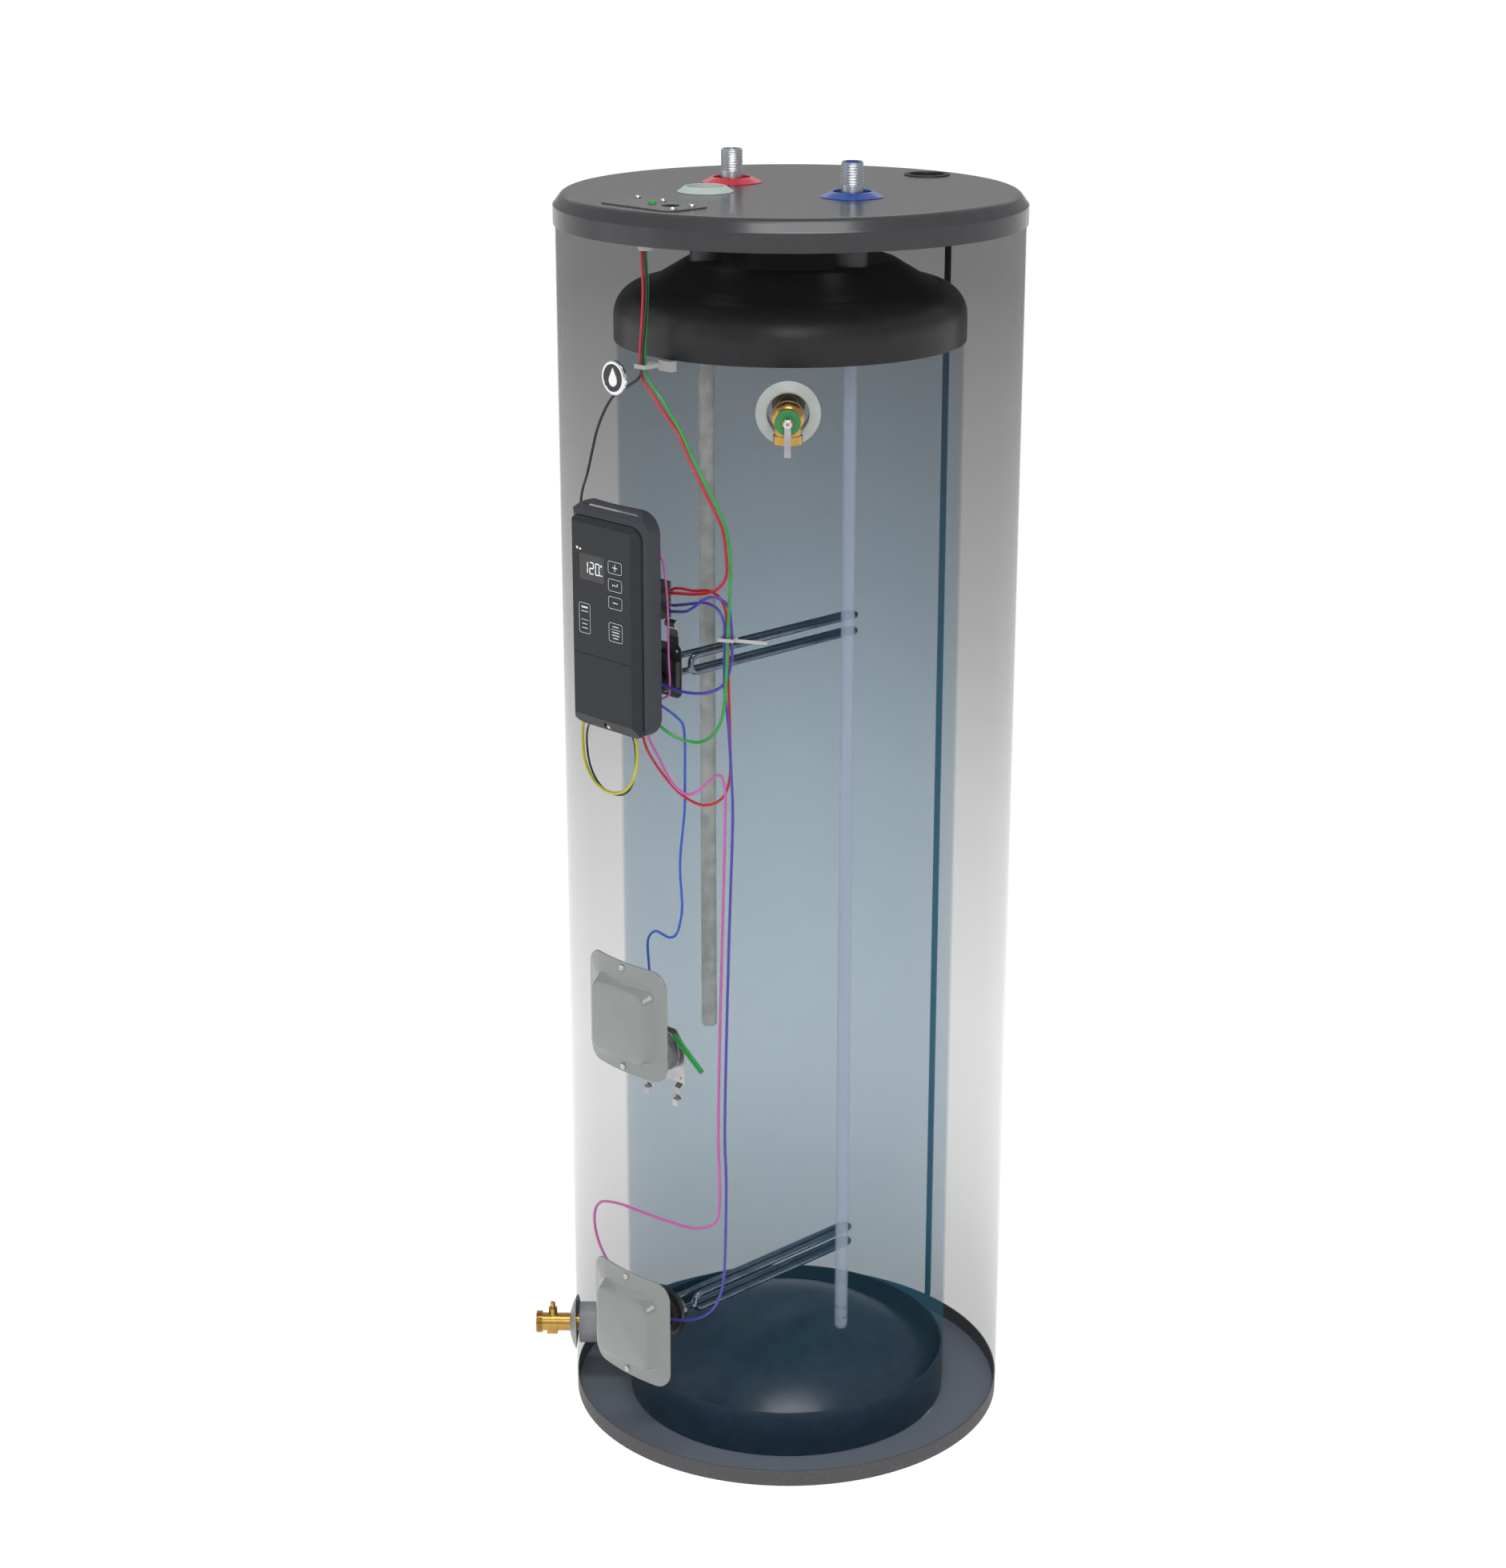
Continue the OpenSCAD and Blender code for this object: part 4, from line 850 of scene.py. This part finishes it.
@dataclass
class UnitMarks:
    """Lit figures of the display and the printed outlines and signs of the keys."""

    paints: Paints
    line: float = 0.5 * MM
    film: float = 0.12 * MM
    figure_w: float = 6.4 * MM
    figure_h: float = 13.4 * MM
    figure_step: float = 10.3 * MM
    bar: float = 0.85 * MM

    def figures(self) -> None:
        """Makes the lit number with its degree ring."""
        low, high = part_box("display_window")
        face = -low[1]
        where = outward(0.0, (low[2] + high[2]) / 2.0)
        mesh = Mesh.empty()
        for i, figure in enumerate("120"):
            x0 = (low[0] + high[0]) / 2.0 + (i - 1.0) * self.figure_step
            for segment in FIGURES[figure]:
                sx, sy, level = segment.value
                centre = (x0 + sx * self.figure_w / 2.0, sy * self.figure_h / 2.0)
                size = ((self.figure_w - self.bar * 0.6, self.bar) if level
                        else (self.bar, self.figure_h / 2.0 - self.bar * 0.9))
                mesh.box(centre, size, face, face + self.film, where)
        x1 = (low[0] + high[0]) / 2.0 + 17.0 * MM
        mesh.outline(2.4 * MM, 2.4 * MM, 1.19 * MM, 0.6 * MM, face, face + self.film,
                     where @ Matrix.Translation((x1, 5.2 * MM, 0.0)))
        for k in range(3):
            mesh.box((x1 + (k - 1) * 1.5 * MM, -6.2 * MM), (1.0 * MM, 0.9 * MM), face,
                     face + self.film, where)
        mesh.piece("display_figures", "lit_segment", self.paints, smooth=False)

    def emblem(self) -> None:
        """Makes the dark field that the badge's drop stands on."""
        floor = 283.6 * MM
        mesh = Mesh.empty()
        mesh.turned([(0.01 * MM, floor), (15.85 * MM, floor), (15.85 * MM, floor + 0.2 * MM),
                     (0.01 * MM, floor + 0.2 * MM)], outward(0.0, 1.391), 64)
        mesh.piece("badge_field", "black_plastic", self.paints)

    def lamp_marks(self) -> None:
        """Makes the two small lit signs above the display."""
        face = -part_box("control_cover")[0][1]
        where = outward(0.0, 1.1885)
        mesh = Mesh.empty()
        for k, w in enumerate((3.4, 2.2, 0.9)):
            mesh.box((-42.0 * MM, (1.6 - 1.1 * k) * MM), (w * MM, 0.7 * MM), face,
                     face + self.film, where)
        mesh.slab([(x - 36.6 * MM, y) for x, y in rounded(3.6 * MM, 1.5 * MM, 0.7 * MM)], face,
                  face + self.film, where)
        mesh.piece("lamp_signs", "lit_segment", self.paints, smooth=False)

    def key(self, node: str, bars: Sequence[tuple[float, float, float, float]]) -> None:
        """Prints one key.

        Args:
            node: The key's node and body.
            bars: Centre and size of each printed bar in millimetres, from the key's centre.
        """
        low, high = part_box(node)
        face = -low[1]
        w, h = high[0] - low[0], high[2] - low[2]
        where = outward(0.0, (low[2] + high[2]) / 2.0) @ Matrix.Translation(
            ((low[0] + high[0]) / 2.0, 0.0, 0.0))
        mesh = Mesh.empty()
        mesh.outline(w - 1.2 * MM, h - 1.2 * MM, 2.6 * MM, self.line, face, face + self.film, where)
        for x, y, bar_w, bar_h in bars:
            mesh.box((x * MM, y * MM), (bar_w * MM, bar_h * MM), face, face + self.film, where)
        mesh.piece(f"{node}_print", "white_print", self.paints, body=node, smooth=False)

    def build(self) -> None:
        """Makes every mark of the control unit."""
        self.figures()
        self.emblem()
        self.lamp_marks()
        self.key("key_plus", [(0, 0, 8.4, 1.1), (0, 2.4, 1.1, 3.7), (0, -2.4, 1.1, 3.7)])
        self.key("key_minus", [(0, 0, 8.4, 1.1)])
        self.key("key_enter", [(0, 0, 9.0, 0.9), (-3.9, 0.95, 0.9, 1.0), (-3.9, -0.95, 0.9, 1.0),
                               (4.1, 1.7, 0.9, 2.5)])
        self.key("key_reset", [(0, 7.0, 10.0, 1.1), (0, 3.6, 16.0, 0.5), (0, 0.4, 13.0, 1.1),
                               (0, -3.2, 13.0, 1.1), (0, -6.8, 9.0, 1.1)])
        self.key("key_mode", [(0, 13.2, 11.0, 2.2), (0, 8.2, 12.0, 0.9), (0, -2.0, 13.0, 0.5),
                              (0, -7.0, 9.0, 0.9), (0, -12.0, 10.0, 0.9)])


# ---------------------------------------------------------------- small metal fittings


@dataclass
class Fittings:
    """Crimped terminals, the hose thread of the drain and the clip of the relief lever."""

    paints: Paints
    blades: tuple[float, float, float] = (1.131, 1.115, 1.109)
    barrel: float = 1.9 * MM

    def terminals(self) -> None:
        """Makes a crimped barrel on each blade of the limit switch."""
        mesh = Mesh.empty()
        profile = [(0.6 * MM, 0.0), (1.5 * MM, 0.0), (1.5 * MM, 2.2 * MM), (self.barrel, 2.8 * MM),
                   (self.barrel, 7.2 * MM), (2.3 * MM, 8.6 * MM), (2.0 * MM, 8.6 * MM),
                   (1.65 * MM, 7.0 * MM), (0.6 * MM, 7.0 * MM)]
        for z in self.blades:
            along = (Matrix.Translation((18.2 * MM, -221.6 * MM, z))
                     @ Matrix.Rotation(math.pi / 2.0, 4, "Y"))
            mesh.turned(profile, along, 20)
        mesh.piece("crimped_terminals", "zinc_steel", self.paints)

    def hose_thread(self) -> None:
        """Makes the thread ridges round the end of the drain valve."""
        mesh = Mesh.empty()
        root, crest, pitch = 14.2 * MM, 15.0 * MM, 2.2 * MM
        for k in range(3):
            low = 327.3 * MM + k * pitch
            mesh.turned([(root, low), (crest, low + 0.7 * MM), (crest, low + 1.1 * MM),
                         (root, low + 1.8 * MM)], outward(-45.0, 80.0 * MM), 64)
        mesh.piece("hose_thread", "brass", self.paints)

    def lever_clip(self) -> None:
        """Makes the washer, ears and rivet on the relief valve's lever."""
        where = outward(45.0, 1.366)
        face = 346.6 * MM
        washer = Mesh.empty()
        washer.turned([(1.9 * MM, face), (4.6 * MM, face), (4.6 * MM, face + 0.5 * MM),
                       (4.2 * MM, face + 0.9 * MM), (1.9 * MM, face + 0.9 * MM)], where, 40)
        for x in (-2.6, 2.6):
            washer.box((x * MM, 4.4 * MM), (1.2 * MM, 2.6 * MM), face - 1.0 * MM, face + 0.6 * MM,
                       where)
        washer.piece("lever_washer", "zinc_steel", self.paints, body="relief_lever")
        ground = Mesh.empty()
        plate = 1582.5 * MM
        ground.turned([(1.7 * MM, plate + 3.0 * MM), (3.5 * MM, plate + 3.0 * MM),
                       (4.7 * MM, plate + 1.6 * MM), (4.7 * MM, plate + 0.05 * MM),
                       (4.9 * MM, plate + 0.05 * MM), (4.9 * MM, plate + 1.7 * MM),
                       (3.6 * MM, plate + 3.5 * MM), (1.7 * MM, plate + 3.5 * MM)],
                      Matrix.Translation((0.0, -221.0 * MM, 0.0)), 32)
        ground.piece("ground_screw_lacquer", "wire_green", self.paints)
        rivet = Mesh.empty()
        dome = [(1.9 * MM * math.cos(a), face + 1.3 * MM * math.sin(a))
                for a in (math.pi / 2.0 * k / 6 for k in range(6))]
        rivet.turned([(0.01 * MM, face)] + dome + [(0.01 * MM, face + 1.3 * MM)], where, 32)
        rivet.piece("lever_rivet", "brass", self.paints, body="relief_lever")

    def build(self) -> None:
        """Makes every fitting."""
        self.terminals()
        self.hose_thread()
        self.lever_clip()


# ---------------------------------------------------------------- studio


@dataclass
class Studio:
    """Floor, lights and camera."""

    place: Point = (2.585, -2.5492, 2.0112)
    tilt: float = 72.108
    heading: float = 46.106
    lens: float = 72.28
    floor_half: float = 90.0
    world_white: float = 0.42

    def floor(self) -> None:
        """Lays the pale floor."""
        half = self.floor_half
        data = bpy.data.meshes.new("floor")
        data.from_pydata([(-half, -half, 0), (half, -half, 0), (half, half, 0), (-half, half, 0)], [],
                         [(0, 1, 2, 3)])
        made = bpy.data.objects.new("floor", data)
        bpy.context.scene.collection.objects.link(made)
        shader = Shader("floor_white")
        grain = shader.noise(0.4)
        data.materials.append(shader.finish({
            "Base Color": shader.mix(grain, (0.24, 0.24, 0.24), (0.26, 0.26, 0.26)),
            "Roughness": 0.9,
            "Specular IOR Level": 0.0,
            "Emission Color": (1.0, 1.0, 1.0),
            "Emission Strength": 0.92,
        }))

    def light(self, name: str, azimuth: float, distance: float, z: float, size: tuple[float, float],
              power: float) -> None:
        """Adds one soft box that faces the heater.

        Args:
            name: The light's name.
            azimuth: Its direction from the heater, in degrees from the front.
            distance: Its distance from the axis, in metres.
            z: Its height.
            size: Width and height of the box.
            power: Its power in watts.
        """
        lamp = bpy.data.lights.new(name, "AREA")
        lamp.shape = "RECTANGLE"
        lamp.size, lamp.size_y = size
        lamp.energy = power
        made = bpy.data.objects.new(name, lamp)
        bpy.context.scene.collection.objects.link(made)
        a = math.radians(azimuth)
        spot = Vector((distance * math.sin(a), -distance * math.cos(a), z))
        made.location = spot
        made.rotation_euler = (Vector((0.0, 0.0, 0.8)) - spot).to_track_quat("-Z", "Y").to_euler()

    def lights(self) -> None:
        """Sets the white surround and the soft boxes."""
        world = bpy.data.worlds.new("surround")
        bpy.context.scene.world = world
        world.use_nodes = True
        back = world.node_tree.nodes["Background"]
        back.inputs[0].default_value = (1.0, 1.0, 1.0, 1.0)
        back.inputs[1].default_value = self.world_white
        self.light("key", 48.0, 4.2, 3.2, (1.6, 2.2), 45.0)
        self.light("left_fill", -35.0, 3.6, 2.0, (2.6, 2.6), 16.0)
        self.light("overhead", 53.0, 1.25, 4.5, (2.0, 0.7), 60.0)
        self.light("crown", 225.0, 4.0, 3.3, (4.4, 1.4), 9.0)

    def camera(self) -> None:
        """Sets the camera."""
        lens = bpy.data.cameras.new("camera")
        lens.lens = self.lens
        lens.sensor_width = 36.0
        lens.sensor_fit = "HORIZONTAL"
        lens.clip_end = 400.0
        made = bpy.data.objects.new("camera", lens)
        made.location = self.place
        made.rotation_euler = Euler((math.radians(self.tilt), 0.0, math.radians(self.heading)))
        bpy.context.scene.collection.objects.link(made)
        bpy.context.scene.camera = made

    def build(self) -> None:
        """Sets up the whole studio."""
        self.floor()
        self.lights()
        self.camera()
        scene = bpy.context.scene
        scene.view_settings.view_transform = "Standard"
        scene.cycles.transparent_max_bounces = 40
        scene.cycles.max_bounces = 8


# ---------------------------------------------------------------- carried-over solids


def dress_solids(frame: dict[str, Any], paints: Paints) -> None:
    """Puts each CAD node's finish on it, as the record names it.

    Args:
        paints: The materials.
    """
    for part in frame["record"]["subparts"]:
        paints.dress(frame["nodes"][part["node"]], part["material_slot"])
        log.info("dressed %s", part["node"])


def main() -> None:
    """Builds every piece in order."""
    logging.basicConfig(level=logging.INFO, format="%(name)s %(message)s")
    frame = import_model()
    RECORD_SLOTS.update(m["slot"] for m in frame["record"]["materials"])
    paints = Paints()
    Studio().build()
    dress_solids(frame, paints)
    for assembly in (Nipples(paints), AccessCovers(paints), UnitMarks(paints), Fittings(paints)):
        assembly.build()


if __name__ == "__main__":
    main()
